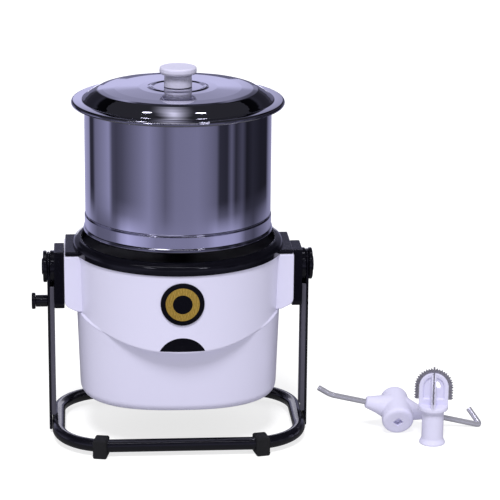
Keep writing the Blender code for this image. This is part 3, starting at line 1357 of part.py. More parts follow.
def make_scraper(finishes, scraper_axis):
    place = (SCRAPER_X, SCRAPER_Y, 0)
    turn = turn_about("Z", SCRAPER_TURN)
    neck_top = SCRAPER_NECK_HEIGHT
    rim_top = neck_top + SCRAPER_RIM_HEIGHT
    flare = SCRAPER_FOOT_HEIGHT
    profile = [
        (0, 0), (SCRAPER_FOOT_R, 0), (SCRAPER_FOOT_R, SCRAPER_FOOT_EDGE), (SCRAPER_NECK_R, flare),
        (SCRAPER_NECK_R, neck_top), (SCRAPER_RIM_R, rim_top - SCRAPER_RIM_EDGE), (SCRAPER_RIM_R, rim_top),
        (0, rim_top),
    ]
    core = add("scraper_core", moved(turned(profile, SMALL_STEPS), place), finishes["white_plastic"], scraper_axis)
    dome = SCRAPER_HEIGHT - SAW_R
    for across, radius in (("Y", RIB_R), ("X", RIB_R - FIT)):
        foot = rim_top - SCRAPER_RIM_HEIGHT / 2
        rib = [(radius, foot)] + arc(0, dome, radius, 0, 180, TINY_STEPS) + [(-radius, foot)]
        join(core, moved(prism(rib, -RIB_THICK / 2, RIB_THICK / 2, across), place, turn))
    window_low = rim_top + RIB_WINDOW_RISE
    bow = math.degrees(math.acos(RIB_WINDOW_SIDE / RIB_WINDOW_R))
    for across in ("Y", "X"):
        for sign in (-1, 1):
            outline = [(RIB_WINDOW_SIDE, window_low), (RIB_WINDOW_R, window_low)]
            outline += arc(0, dome, RIB_WINDOW_R, 0, bow, CORNER_STEPS)
            outline = [(sign * u, v) for u, v in outline]
            cut(core, moved(prism(outline, -RIB_THICK, RIB_THICK, across), place, turn))
    side = SOCKET_SIDE / 2
    cut(core, moved(block((-side, -side, -OVERRUN), (side, side, SOCKET_DEPTH)), place))
    saw_low = rim_top + SAW_FOOT_RISE
    first_slope = math.tan(FULL_TURN / (4 * TINY_STEPS))
    inner_r = RIB_R + FIT + RIB_THICK / 2 * first_slope
    blade = add(
        "scraper_blades", moved(saw_strip(saw_low, dome, inner_r, "Y"), place, turn), finishes["steel"], scraper_axis
    )
    join(blade, moved(saw_strip(saw_low, dome, inner_r, "X"), place, turn))


def saw_strip(foot, dome, inner_r, across):
    """A strip bent over the dome, its outer edge cut into teeth."""
    outline = [(inner_r, foot)]
    outline += [(u, v) for u, v in arc(0, dome, inner_r, 0, 180, TINY_STEPS)]
    outline += [(-inner_r, foot)]
    teeth = []
    for index in range(2 * SAW_TEETH + 1):
        angle = math.pi - math.pi * index / (2 * SAW_TEETH)
        reach = SAW_R - (SAW_TOOTH if index % 2 else 0)
        teeth.append((reach * math.cos(angle), dome + reach * math.sin(angle)))
    outline += [(-SAW_R, foot)] + teeth + [(SAW_R, foot)]
    return prism(outline, -SAW_THICK / 2, SAW_THICK / 2, across)


def kneader_line(reach):
    """A point on the straight part of the rods, at a signed distance from the hub's axis."""
    return Vector((
        KNEADER_X + reach * math.cos(KNEADER_ROLL), KNEADER_Y, KNEADER_Z - reach * math.sin(KNEADER_ROLL),
    ))


def rod_route(reach, tip):
    """From inside the sleeve out to the bend, round it, and on to the tip."""
    sign = math.copysign(1, reach)
    corner = kneader_line(reach)
    end = corner + Vector(tip)
    inward = (kneader_line(0) - corner).normalized()
    outward = (end - corner).normalized()
    start = corner + inward * ROD_BEND_R
    finish_point = corner + outward * ROD_BEND_R
    points = [kneader_line(sign * ROD_START)]
    for index in range(CORNER_STEPS + 1):
        share = index / CORNER_STEPS
        points.append(start.lerp(corner, share).lerp(corner.lerp(finish_point, share), share))
    points.append(end)
    return points


def make_kneader(finishes, kneader_axis):
    edge = KNEADER_EDGE
    tail = KNEADER_TAIL_REACH - KNEADER_DOME
    profile = [
        (0, -KNEADER_NOSE_REACH), (KNEADER_NOSE_R - edge, -KNEADER_NOSE_REACH),
        (KNEADER_NOSE_R, -KNEADER_NOSE_REACH + edge), (KNEADER_TAIL_R, tail),
    ]
    for index in range(1, CORNER_STEPS + 1):
        angle = FULL_TURN / 4 * index / CORNER_STEPS
        profile.append((KNEADER_TAIL_R * math.cos(angle), tail + KNEADER_DOME * math.sin(angle)))
    profile[-1] = (0, profile[-1][1])
    lay = turn_about("X", -FULL_TURN / 4 + KNEADER_PITCH)
    centre = kneader_line(0)
    hub = add("kneader_hub", moved(turned(profile, SMALL_STEPS), centre, lay), finishes["white_plastic"], kneader_axis)
    for sign in (-1, 1):
        sleeve = tube(
            [kneader_line(sign * SLEEVE_ROOT_REACH), kneader_line(sign * SLEEVE_REACH)],
            SLEEVE_ROOT_R, TUBE_SIDES + 4, end_radius=SLEEVE_END_R,
        )
        join(hub, sleeve)
    half = SOCKET_SIDE / 2
    nose = -KNEADER_NOSE_REACH
    socket = block((-half, -half, nose - OVERRUN), (half, half, nose + SOCKET_DEPTH / 2))
    cut(hub, moved(moved(socket, turn=turn_about("Z", FULL_TURN / 8)), centre, lay))
    routes = (("left", rod_route(-ROD_LEFT, LEFT_TIP)), ("right", rod_route(ROD_RIGHT, RIGHT_TIP)))
    for name_side, route in routes:
        inward = route[0] - (route[1] - route[0]).normalized() * FIT
        cut(hub, tube([inward, route[1]], ROD_R + FIT, TINY_STEPS))
        add("kneader_rod_" + name_side, tube(route, ROD_R, TINY_STEPS), finishes["steel"], kneader_axis)


def main():
    clear_scene()
    finishes = make_finishes()
    right_end = max(point.x for point in rod_route(ROD_RIGHT, RIGHT_TIP)) + ROD_R
    root = empty_at("grinder", ((LEFT_END - right_end) / 2, 0, 0))
    print("drum axis at x =", round(root.location.x, 5))
    tilting = empty_at("tilt_axis", (0, 0, PIVOT_Z), root)
    lock_axis = empty_at("lock_axis", (-WEB_OUTER_X, 0, LOCK_Z), root)
    drum_axis = empty_at("drum_axis", (0, 0, DRUM_BOTTOM), tilting)
    motor_axis = empty_at("motor_axis", (MOTOR_X, 0, MOTOR_TOP), tilting)
    switch_axis = empty_at("switch_axis", (0, -BULGE_FOOT_R, SWITCH_CHORD_Z), tilting)
    unit_axis = empty_at("stone_unit_axis", (0, 0, POST_TOP), tilting)
    knob_axis = empty_at("holder_knob_axis", (0, 0, HOLDER_BOTTOM + HOLDER_HEIGHT), unit_axis)
    left_axis = empty_at("roller_left_axis", (0, 0, APEX_Z), unit_axis)
    right_axis = empty_at("roller_right_axis", (0, 0, APEX_Z), unit_axis)
    lid_axis = empty_at("lid_axis", (0, 0, LID_FLANGE_Z), drum_axis)
    scraper_axis = empty_at("scraper_axis", (SCRAPER_X, SCRAPER_Y, 0), root)
    kneader_axis = empty_at("kneader_axis", (KNEADER_X, KNEADER_Y, 0), root)

    make_base_frame(finishes, root)
    make_feet(finishes, root)
    for name_side, side in (("left", -1), ("right", 1)):
        make_upright("upright_" + name_side, side, finishes, root)
        make_pivot_bolt(name_side, side, finishes, root)
        make_bracket("bracket_" + name_side, side, finishes, tilting)
        make_bush_and_bolt(name_side, side, finishes, tilting)
    make_lock(finishes, root, lock_axis)
    make_housing(finishes, tilting)
    make_bottom_cover(finishes, tilting)
    make_collar(finishes, tilting)
    make_chassis(finishes, tilting)
    make_post(finishes, tilting)
    make_drive(finishes, tilting)
    make_motor(finishes, tilting, motor_axis)
    make_electrics(finishes, tilting)
    make_switch(finishes, tilting, switch_axis)
    badge_r = BULGE_TOP_R + FIT
    curved_badge("badge", BADGE_R, 0, badge_r, BADGE_THICK, finishes["black_plastic"], tilting)
    ring_base = badge_r + BADGE_THICK + FIT
    curved_badge("badge_ring", RING_R, RING_INNER_R, ring_base, RING_THICK, finishes["gold"], tilting)
    make_drum(finishes, drum_axis)
    make_stone_unit(finishes, unit_axis)
    make_roller("roller_left", -1, finishes, left_axis)
    make_roller("roller_right", 1, finishes, right_axis)
    make_holder_knob(finishes, knob_axis)
    make_lid(finishes, lid_axis)
    make_scraper(finishes, scraper_axis)
    make_kneader(finishes, kneader_axis)


main()
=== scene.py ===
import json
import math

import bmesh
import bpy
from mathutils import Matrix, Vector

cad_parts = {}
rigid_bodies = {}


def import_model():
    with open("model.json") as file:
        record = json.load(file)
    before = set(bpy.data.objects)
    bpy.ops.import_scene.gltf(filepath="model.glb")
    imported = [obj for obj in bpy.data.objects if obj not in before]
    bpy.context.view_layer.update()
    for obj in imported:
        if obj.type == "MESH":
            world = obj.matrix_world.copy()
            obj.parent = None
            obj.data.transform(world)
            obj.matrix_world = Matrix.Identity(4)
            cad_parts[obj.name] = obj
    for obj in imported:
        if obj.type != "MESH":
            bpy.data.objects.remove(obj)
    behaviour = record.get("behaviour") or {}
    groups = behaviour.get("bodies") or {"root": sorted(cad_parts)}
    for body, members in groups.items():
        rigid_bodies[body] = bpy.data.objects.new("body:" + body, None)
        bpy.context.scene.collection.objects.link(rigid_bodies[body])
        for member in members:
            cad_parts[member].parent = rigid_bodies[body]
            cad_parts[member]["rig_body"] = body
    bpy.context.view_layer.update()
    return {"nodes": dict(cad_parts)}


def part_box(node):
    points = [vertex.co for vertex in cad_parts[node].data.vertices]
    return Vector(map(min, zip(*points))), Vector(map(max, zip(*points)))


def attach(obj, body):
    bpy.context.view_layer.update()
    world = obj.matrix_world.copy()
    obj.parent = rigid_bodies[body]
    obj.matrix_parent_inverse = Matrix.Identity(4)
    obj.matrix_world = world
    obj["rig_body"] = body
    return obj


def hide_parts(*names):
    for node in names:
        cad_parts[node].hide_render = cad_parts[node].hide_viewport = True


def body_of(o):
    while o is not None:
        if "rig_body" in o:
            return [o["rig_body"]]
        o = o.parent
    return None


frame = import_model()

# %% [markdown]
# # A two-litre tilting wet grinder, with its dough kneader and coconut scraper
#
# The real machine is a mirror-polished steel drum with a granite floor, standing on a white moulded
# housing. Belt, motor and post are inside the housing. The housing hangs by two pins between the uprights
# of a bent-tube stand, so that it can tip forward and pour. The frame loaded above gives every piece its
# true place and motion. Each step below makes one piece again, finer, where the frame has it, and lets it
# ride on the same body.

FULL_TURN = 2 * math.pi
QUARTER = FULL_TURN / 4
FIT = 0.0003               # the gap between pieces that touch
SIDES = ((-1, "left"), (1, "right"))


def middle_z(node):
    return sum(corner.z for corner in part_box(node)) / 2


AXIS_X = sum(corner.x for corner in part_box("drum_wall")) / 2
HINGE_Z = middle_z("pivot_bolt_left")
print("drum axis at x", round(AXIS_X, 5), "and hinge at z", round(HINGE_Z, 5))

# %% [markdown]
# ## Finishes
#
# A finish on the real machine is never one flat value: moulded plastic has a faint orange peel, spun steel
# has polishing lines that run round it, granite is a mix of crystals. Each finish here is a small tree of
# noise patterns placed by the piece's own coordinates, so it stays put on the metal when the piece moves.
# Pictures wrapped round the shape would need unwrapping and would blur up close, and patterns don't.

# %% writing node trees in short lines
def add_node(tree, kind, values=None, **settings):
    """One node. A value that is a socket is wired in, and any other is typed in."""
    made = tree.nodes.new(kind)
    for key, value in settings.items():
        setattr(made, key, value)
    for key, value in (values or {}).items():
        if isinstance(value, bpy.types.NodeSocket):
            tree.links.new(value, made.inputs[key])
        else:
            made.inputs[key].default_value = value
    return made


def maths(tree, operation, *values):
    return add_node(tree, "ShaderNodeMath", dict(enumerate(values)), operation=operation).outputs[0]


def length_of(tree, vector):
    return add_node(tree, "ShaderNodeVectorMath", {0: vector}, operation="LENGTH").outputs["Value"]


def sideways_of(tree, parts):
    """How far right of the drum axis a place is."""
    return maths(tree, "SUBTRACT", parts[0], AXIS_X)


def new_finish(name, colour, roughness, metallic=0.0, **others):
    """A finish, its tree, its shader and the coordinates that its patterns lie in."""
    material = bpy.data.materials.new(name)
    material.use_nodes = True
    tree = material.node_tree
    shader = tree.nodes["Principled BSDF"]
    shader.inputs["Base Color"].default_value = (*colour, 1)
    shader.inputs["Roughness"].default_value = roughness
    shader.inputs["Metallic"].default_value = metallic
    for key, value in others.items():
        shader.inputs[key.replace("_", " ")].default_value = value
    place = add_node(tree, "ShaderNodeTexCoord").outputs["Object"]
    return material, tree, shader, place


def grain(tree, place, scale, detail=2.0, stretch=(1, 1, 1)):
    """Cloudy noise from 0 to 1, stretched along an axis where that axis has a smaller number."""
    moved = add_node(tree, "ShaderNodeMapping", {"Vector": place, "Scale": stretch}).outputs[0]
    values = {"Vector": moved, "Scale": scale, "Detail": detail}
    return add_node(tree, "ShaderNodeTexNoise", values).outputs[0]


def spread(tree, share, low, high, start=0.3, end=0.7):
    """Runs from low to high while the share runs from start to end."""
    values = {0: share, 1: start, 2: end, 3: low, 4: high}
    return add_node(tree, "ShaderNodeMapRange", values).outputs[0]


def tinted(tree, share, dark, light):
    values = {0: share, 6: (*dark, 1), 7: (*light, 1)}
    return add_node(tree, "ShaderNodeMix", values, data_type="RGBA").outputs[2]


def wire(tree, shader, **inputs):
    for key, value in inputs.items():
        tree.links.new(value, shader.inputs[key.replace("_", " ")])


def raised(tree, height, strength, distance):
    values = {"Height": height, "Strength": strength, "Distance": distance}
    return add_node(tree, "ShaderNodeBump", values).outputs[0]


# %% moulded skins: white, glossy and matt black, paint, rubber, nylon
finishes = {}


def moulded(name, dark, light, smooth, rough, peel_scale, peel, **others):
    """A moulded skin: the colour drifts a little, the gloss is patchy, and the surface has an orange peel."""
    material, tree, shader, place = new_finish(name, light, rough, **others)
    colour = tinted(tree, grain(tree, place, 9, 2), dark, light)
    gloss = spread(tree, grain(tree, place, 22, 2), smooth, rough)
    peel_height = grain(tree, place, peel_scale, 3)
    wire(tree, shader, Base_Color=colour, Roughness=gloss, Normal=raised(tree, peel_height, peel, 0.0002))
    finishes[name] = material


moulded("white_plastic", (0.694, 0.676, 0.880), (0.708, 0.690, 0.894), 0.28, 0.33, 900, 0.05)
moulded("black_plastic", (0.0026, 0.0025, 0.0048), (0.0042, 0.0040, 0.0072), 0.08, 0.16, 700, 0.04)
moulded("matt_black", (0.0022, 0.0021, 0.0040), (0.0036, 0.0034, 0.0060), 0.45, 0.60, 700, 0.10, IOR=1.18)
moulded("black_paint", (0.0030, 0.0029, 0.0056), (0.0048, 0.0046, 0.0082), 0.12, 0.20, 500, 0.10, IOR=1.65)
# lighter paint for the uprights' lips: a painted highlight for the light that their rolled edges catch
moulded("painted_lip_highlight", (0.0620, 0.0590, 0.0850), (0.0900, 0.0860, 0.1180), 0.38, 0.55, 400, 0.16)
moulded("rubber", (0.0080, 0.0080, 0.0095), (0.0150, 0.0150, 0.0170), 0.60, 0.85, 1200, 0.30)
moulded("nylon", (0.700, 0.695, 0.640), (0.760, 0.750, 0.700), 0.35, 0.50, 600, 0.12)
print("moulded:", ", ".join(finishes))

# %% [markdown]
# Spun and polished sheet carries fine lines that follow the turn. They are noise read from only the
# distance to the axis and the height, so the same value holds all the way round. A second, very long noise
# gives the slight ripple that makes reflections in thin sheet wander.

# %% metals: mirror sheet, bars, zinc plate, gold foil, saw bands, rods, motor core
def round_the_axis(tree, place):
    """Coordinates that don't change round the drum axis: distance from it, and height."""
    parts = add_node(tree, "ShaderNodeSeparateXYZ", {0: place}).outputs
    flat = add_node(tree, "ShaderNodeCombineXYZ", {0: sideways_of(tree, parts), 1: parts[1]}).outputs[0]
    return add_node(tree, "ShaderNodeCombineXYZ", {0: length_of(tree, flat), 2: parts[2]}).outputs[0]


def metal(name, dark, light, smooth, rough, lines, line_scale, stretch, ripple, bare=1.0):
    """Bare metal: tarnish drifts over it, and fine lines run the way that it was worked."""
    material, tree, shader, place = new_finish(name, light, rough, bare)
    laid = round_the_axis(tree, place) if stretch is None else place
    line = grain(tree, laid, line_scale, 4, stretch or (1, 1, 1))
    wave = grain(tree, place, 11, 1)
    height = maths(tree, "MULTIPLY_ADD", wave, ripple, line)
    colour = tinted(tree, grain(tree, place, 17, 6), dark, light)
    gloss = spread(tree, line, smooth, rough)
    wire(tree, shader, Base_Color=colour, Roughness=gloss, Normal=raised(tree, height, lines, 0.0001))
    finishes[name] = material


metal("mirror_steel", (0.605, 0.600, 0.680), (0.635, 0.628, 0.710), 0.020, 0.045, 0.02, 1600, None, 6)
metal("steel", (0.440, 0.435, 0.460), (0.560, 0.555, 0.580), 0.16, 0.30, 0.12, 900, (0.05, 1, 1), 1)
metal("zinc", (0.480, 0.490, 0.520), (0.600, 0.610, 0.640), 0.30, 0.48, 0.20, 500, (1, 1, 1), 1)
metal("gold", (0.300, 0.165, 0.030), (0.640, 0.430, 0.085), 0.20, 0.34, 0.15, 800, (1, 0.2, 0.2), 2, 0.45)
metal("saw_steel", (0.120, 0.115, 0.140), (0.560, 0.540, 0.640), 0.22, 0.36, 0.30, 900, (1, 1, 0.3), 1, 0.60)
metal("rod_steel", (0.740, 0.730, 0.830), (0.840, 0.830, 0.930), 0.07, 0.13, 0.05, 900, (0.05, 1, 1), 1, 0.66)
metal("motor_core", (0.055, 0.060, 0.080), (0.120, 0.130, 0.160), 0.45, 0.60, 0.40, 1400, (0.02, 0.02, 1), 1)
print(len(finishes), "finishes with the metals")

# %% granite: three sizes of crystal
def make_granite():
    material, tree, shader, place = new_finish("granite", (0.06, 0.06, 0.06), 0.6)
    cells = add_node(tree, "ShaderNodeTexVoronoi", {"Vector": place, "Scale": 420.0}).outputs["Color"]
    crystal = add_node(tree, "ShaderNodeSeparateColor", {0: cells}).outputs[0]
    body = tinted(tree, grain(tree, place, 160, 8), (0.018, 0.018, 0.020), (0.110, 0.108, 0.112))
    pale = spread(tree, crystal, 0, 1, 0.78, 0.84)
    speckled = add_node(tree, "ShaderNodeMix", {0: pale, 6: body, 7: (0.34, 0.33, 0.32, 1)}, data_type="RGBA")
    rough = spread(tree, crystal, 0.42, 0.72, 0, 1)
    pits = grain(tree, place, 520, 6)
    bump = raised(tree, pits, 0.5, 0.0004)
    wire(tree, shader, Base_Color=speckled.outputs[2], Roughness=rough, Normal=bump)
    finishes["granite"] = material


make_granite()
print(len(finishes), "finishes:", ", ".join(sorted(finishes)))

# %% [markdown]
# ## From a mesh to a finished piece
#
# Real edges are never sharp: a bend in sheet, a moulding or a casting all have a radius that catches light.
# So every corner here is rounded before it is skinned, and flat faces keep flat shading up to the rounding,
# which matters most on mirror steel. One helper runs Blender's modifiers over a mesh and hands back the
# plain result, and another gives the result its finish, its body and the frame's pieces that it stands for.

# %% helpers for finished pieces
def held(mesh):
    item = bpy.data.objects.new("blank", mesh)
    bpy.context.scene.collection.objects.link(item)
    return item


def plain_result(item):
    """The mesh that an object's modifiers come to. The object itself goes."""
    bpy.context.view_layer.update()
    ready = item.evaluated_get(bpy.context.evaluated_depsgraph_get())
    result = bpy.data.meshes.new_from_object(ready)
    bpy.data.objects.remove(item)
    return result


def worked(mesh, *steps):
    item = held(mesh)
    for kind, settings in steps:
        modifier = item.modifiers.new(kind.lower(), kind)
        for key, value in settings.items():
            setattr(modifier, key, value)
    return plain_result(item)


def with_soft_edges(mesh, width, segments=3):
    bevel = {"width": width, "segments": segments, "limit_method": "ANGLE", "angle_limit": math.radians(32)}
    return worked(mesh, ("BEVEL", bevel))


def carved(mesh, other, operation="DIFFERENCE"):
    """A mesh with another cut out of it, joined to it, or kept only where both are."""
    cutter = held(other)
    result = worked(mesh, ("BOOLEAN", {"object": cutter, "operation": operation, "solver": "EXACT"}))
    bpy.data.objects.remove(cutter)
    return result


def to_mesh(bm):
    mesh = bpy.data.meshes.new("made")
    bm.to_mesh(mesh)
    bm.free()
    return mesh


def bridge(bm, low, high):
    """Faces from each point of a closed ring to the same point of the next ring."""
    for step in range(len(low)):
        after = (step + 1) % len(low)
        bm.faces.new((low[step], low[after], high[after], high[step]))


def together(meshes):
    """Several meshes in one."""
    whole = bmesh.new()
    for mesh in meshes:
        whole.from_mesh(mesh)
    return to_mesh(whole)


def outward(mesh, merge=0.000002):
    """Joins points that lie on each other and turns every face outwards."""
    bm = bmesh.new()
    bm.from_mesh(mesh)
    bmesh.ops.remove_doubles(bm, verts=bm.verts, dist=merge)
    bmesh.ops.recalc_face_normals(bm, faces=bm.faces)
    bm.to_mesh(mesh)
    bm.free()
    return mesh


def settle(name, mesh, finish, *nodes, sharp=50):
    """The finished piece, riding on the body of the frame's pieces that it stands for."""
    mesh.shade_smooth()
    mesh.set_sharp_from_angle(angle=math.radians(sharp))
    mesh = worked(mesh, ("WEIGHTED_NORMAL", {"keep_sharp": True, "weight": 80}))
    mesh.name = name
    mesh.materials.clear()
    mesh.materials.append(finishes[finish])
    piece = bpy.data.objects.new(name, mesh)
    bpy.context.scene.collection.objects.link(piece)
    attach(piece, body_of(frame["nodes"][nodes[0]])[0])
    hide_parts(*nodes)
    print(name, "has", len(mesh.polygons), "faces")


# %% rounding the corners of an outline
def rounded(corners, steps=6, closed=True):
    """Corners as (across, up, radius). Each one with a radius becomes an arc that meets both its lines."""
    points = []
    count = len(corners)
    for index, (across, up, radius) in enumerate(corners):
        here = Vector((across, up))
        if not radius or (not closed and index in (0, count - 1)):
            points.append((across, up))
            continue
        back = Vector(corners[index - 1][:2]) - here
        ahead = Vector(corners[(index + 1) % count][:2]) - here
        half = back.angle(ahead) / 2
        if half > 1.56:
            points.append((across, up))
            continue
        room = min(back.length, ahead.length) * 0.49
        along = min(radius / math.tan(half), room)
        radius = along * math.tan(half)
        centre = here + (back.normalized() + ahead.normalized()).normalized() * (radius / math.sin(half))
        start = here + back.normalized() * along - centre
        end = here + ahead.normalized() * along - centre
        first = math.atan2(start.y, start.x)
        sweep = (math.atan2(end.y, end.x) - first + math.pi) % FULL_TURN - math.pi
        for step in range(steps + 1):
            angle = first + sweep * step / steps
            points.append((centre.x + radius * math.cos(angle), centre.y + radius * math.sin(angle)))
    return points


sample = rounded([(0, 0, 0.2), (1, 0, 0), (1, 1, 0), (0, 1, 0)])
print("a square with one round corner has", len(sample), "points")

# %% [markdown]
# ## Turning
#
# The drum, the lid, the knobs, the stones and the bolts are all made by spinning: sheet is pressed on a
# lathe, bar is turned, granite is ground round. The same rule makes them here. A node tree takes an outline
# of radius and height, carries it round a circle and joins the seam, so each turned piece is only its
# outline.

# %% the lathe
def new_tree(name, *inputs):
    """An empty geometry tree with its named inputs, its group input and its group output."""
    tree = bpy.data.node_groups.new(name, "GeometryNodeTree")
    tree.interface.new_socket("Geometry", in_out="INPUT", socket_type="NodeSocketGeometry")
    for label, kind in inputs:
        tree.interface.new_socket(label, in_out="INPUT", socket_type="NodeSocket" + kind)
    tree.interface.new_socket("Material", in_out="INPUT", socket_type="NodeSocketMaterial")
    tree.interface.new_socket("Geometry", in_out="OUTPUT", socket_type="NodeSocketGeometry")
    return tree, add_node(tree, "NodeGroupInput").outputs


def end_tree(tree, given, geometry):
    real = add_node(tree, "GeometryNodeRealizeInstances", {0: geometry}).outputs[0]
    painted = add_node(tree, "GeometryNodeSetMaterial", {"Geometry": real, "Material": given["Material"]})
    add_node(tree, "NodeGroupOutput", {0: painted.outputs[0]})
    return tree


def grown(tree, mesh, finish, **values):
    """Runs a geometry tree on a mesh, with its inputs set by their sockets' identifiers."""
    item = held(mesh)
    modifier = item.modifiers.new(tree.name, "NODES")
    modifier.node_group = tree
    given = {key.replace("_", " "): value for key, value in values.items()}
    given["Material"] = finishes[finish]
    for socket in tree.interface.items_tree:
        if socket.in_out == "INPUT" and socket.name in given:
            modifier[socket.identifier] = given[socket.name]
    return outward(plain_result(item))


LATHE_EYE = 0.000001       # radius of the circle that the outline is carried round
tree, given = new_tree("lathe", ("Steps", "Int"))
eye = add_node(tree, "GeometryNodeCurvePrimitiveCircle", {"Resolution": given["Steps"], "Radius": LATHE_EYE})
outline = add_node(tree, "GeometryNodeMeshToCurve", {0: given["Geometry"]})
spun = add_node(
    tree, "GeometryNodeCurveToMesh", {"Curve": eye.outputs[0], "Profile Curve": outline.outputs[0]}
)
lathe = end_tree(tree, given, spun.outputs[0])


def path_mesh(points, closed):
    mesh = bpy.data.meshes.new("path")
    count = len(points)
    lines = [(step, step + 1) for step in range(count - 1)] + ([(count - 1, 0)] if closed else [])
    mesh.from_pydata(points, lines, [])
    return mesh


def turned(corners, finish, place=None, steps=128, arc_steps=5):
    """Spins an outline of (radius, height, rounding). One that ends on the axis is left open there."""
    closed = corners[0][0] > 0 or corners[-1][0] > 0
    outline = rounded(corners, arc_steps, closed)
    mesh = grown(lathe, path_mesh([(across, -up, 0) for across, up in outline], closed), finish, Steps=steps)
    mesh = outward(mesh, 3 * LATHE_EYE)
    mesh.transform(place or Matrix.Translation((AXIS_X, 0, 0)))
    return mesh


def lifted(height, corners):
    """An outline whose heights were written from the height that is given."""
    return [(across, height + up, bend) for across, up, bend in corners]


def settle_turned(name, outline, finish, *nodes, place=None, steps=128):
    settle(name, turned(outline, finish, place, steps), finish, *nodes)


def lying(axis, side, place):
    """Lays a shape that stands on Z along X or Y, its foot at the place and its top towards the side."""
    turn = {"X": ("Y", side), "Y": ("X", -side)}[axis]
    return Matrix.Translation(place) @ Matrix.Rotation(turn[1] * QUARTER, 4, turn[0])


print("the lathe is a tree of", len(lathe.nodes), "nodes")

# %% [markdown]
# ## Drum
#
# A deep-drawn bowl of 1.2 mm sheet. Its foot is rolled into a bead, a straight band stands above the bead,
# and a fine groove parts the band from the wall. The rim at the top is rolled out to carry the lid. The
# groove and the beads are only a millimetre or two, but they are what the eye reads as spun steel.

# %% drum wall, foot bead, groove and rim
DRUM_FOOT_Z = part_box("drum_base")[0].z
DRUM_RIM_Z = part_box("drum_wall")[1].z
DRUM_R = 0.115
FINE_STEPS = 224           # steps round a large mirror
SHEET = 0.0012
BEAD_R = 0.1175
BAND_R = 0.1158
GROOVE_R = 0.1139
RIM_R = 0.117
HUB_R = 0.017
BAND_Z = DRUM_FOOT_Z + 0.021
drum_outline = [
    *lifted(DRUM_FOOT_Z, ((HUB_R + FIT, 0, 0), (BEAD_R - 0.0008, 0, 0.0022), (BEAD_R, 0.0025, 0.002),
                          (BEAD_R - 0.0008, 0.005, 0.0015), (BAND_R, 0.0062, 0.0006))),
    *lifted(BAND_Z, ((BAND_R, -0.0008, 0.0006), (GROOVE_R, 0, 0.0006), (GROOVE_R, 0.001, 0.0006),
                     (DRUM_R, 0.0022, 0.0006))),
    *lifted(DRUM_RIM_Z, ((DRUM_R, -0.0035, 0.0008), (RIM_R, -0.0025, 0.001), (RIM_R, 0, 0.0012),
                         (GROOVE_R - SHEET, 0, 0.001))),
    *lifted(DRUM_FOOT_Z, ((GROOVE_R - SHEET, 0.0015, 0.006), (HUB_R + FIT, 0.0015, 0))),
]
settle_turned("drum_bowl", drum_outline, "mirror_steel", "drum_wall", "drum_base", steps=FINE_STEPS)
print("drum", round(DRUM_RIM_Z - DRUM_FOOT_Z, 4), "m deep")

# %% [markdown]
# ## Lid
#
# One pressed sheet: a flat top with a raised ring round the knob, a steep shoulder, a flat flange that lies
# on the drum's rim, and a rolled hem. The radii at the shoulder are tight, so the top mirrors the far wall
# and the shoulder mirrors the ceiling, with a hard line between the two.

# %% lid sheet and hem
LID_FLANGE_Z = DRUM_RIM_Z - 0.0008
LID_TOP_Z = LID_FLANGE_Z + 0.015
HEM_R = 0.003
LID_R = 0.131
RIDGE_R, RIDGE_HALF = 0.034, 0.004
RIDGE_Z = LID_TOP_Z + 0.0013
SCREW_HOLE_R = 0.0028
LID_SHEET = 0.0011
hem_z = LID_FLANGE_Z - HEM_R


def hem_corners():
    """The hem curls out, down and back under the flange."""
    points = []
    for degrees in range(90, -181, -15):
        angle = math.radians(degrees)
        points.append((LID_R - HEM_R + HEM_R * math.cos(angle), hem_z + HEM_R * math.sin(angle), 0))
    return points


def shoulder_points(sheet):
    """The slightly domed top, the curved shoulder and its foot, a sheet's thickness lower for the inside."""
    shape = ((0.048, 0, 0.05), (0.078, 0.0008, 0.03), (0.0920, 0.0017, 0.015), (0.0988, 0.0029, 0.010),
             (0.1036, 0.0053, 0.02), (0.1090, 0.0083, 0.03), (0.1137, 0.0118, 0.02), (0.1172, 0.0150, 0.0035))
    return [(radius - sheet / 2 * (drop > 0), LID_TOP_Z - drop - sheet, bend) for radius, drop, bend in shape]


lid_outline = [
    (SCREW_HOLE_R, LID_TOP_Z, 0), (RIDGE_R - RIDGE_HALF, LID_TOP_Z, 0.004), (RIDGE_R, RIDGE_Z, 0.003),
    (RIDGE_R + RIDGE_HALF, LID_TOP_Z, 0.004), *shoulder_points(0), *hem_corners(),
    (LID_R - 2 * HEM_R, LID_FLANGE_Z - LID_SHEET, 0), *reversed(shoulder_points(LID_SHEET)),
    (RIDGE_R + RIDGE_HALF, LID_TOP_Z - LID_SHEET, 0.004), (RIDGE_R, RIDGE_Z - LID_SHEET, 0.003),
    (RIDGE_R - RIDGE_HALF, LID_TOP_Z - LID_SHEET, 0.004), (SCREW_HOLE_R, LID_TOP_Z - LID_SHEET, 0),
]
settle_turned("lid_sheet", lid_outline, "mirror_steel", "lid_shell", steps=FINE_STEPS)

# %% lid knob: a wide head on a narrower neck
knob_outline = lifted(LID_TOP_Z + FIT, (
    (0, 0.0243, 0), (0.0160, 0.0245, 0.002), (0.0226, 0.0250, 0.0035), (0.0230, 0.0190, 0.002),
    (0.0218, 0.0158, 0.0015), (0.0165, 0.0168, 0.0015), (0.0172, 0, 0.0008), (SCREW_HOLE_R, 0, 0),
    (SCREW_HOLE_R, 0.014, 0), (0, 0.014, 0),
))
settle_turned("lid_grip", knob_outline, "white_plastic", "lid_knob")

# %% [markdown]
# ## Housing
#
# Two mouldings. The lower one is a tapered bucket whose plan is a squared-off ellipse. The upper one is a
# round bulge that overhangs it, and the joint between them is a lip that dips at the front like a smile.
# Each is a stack of rings, skinned. A ring is only a rule that gives a point for an angle, so the lip's
# line, the taper and the flare stay exact however fine the rings are. Two flat ears at the sides carry the
# hinge brackets.

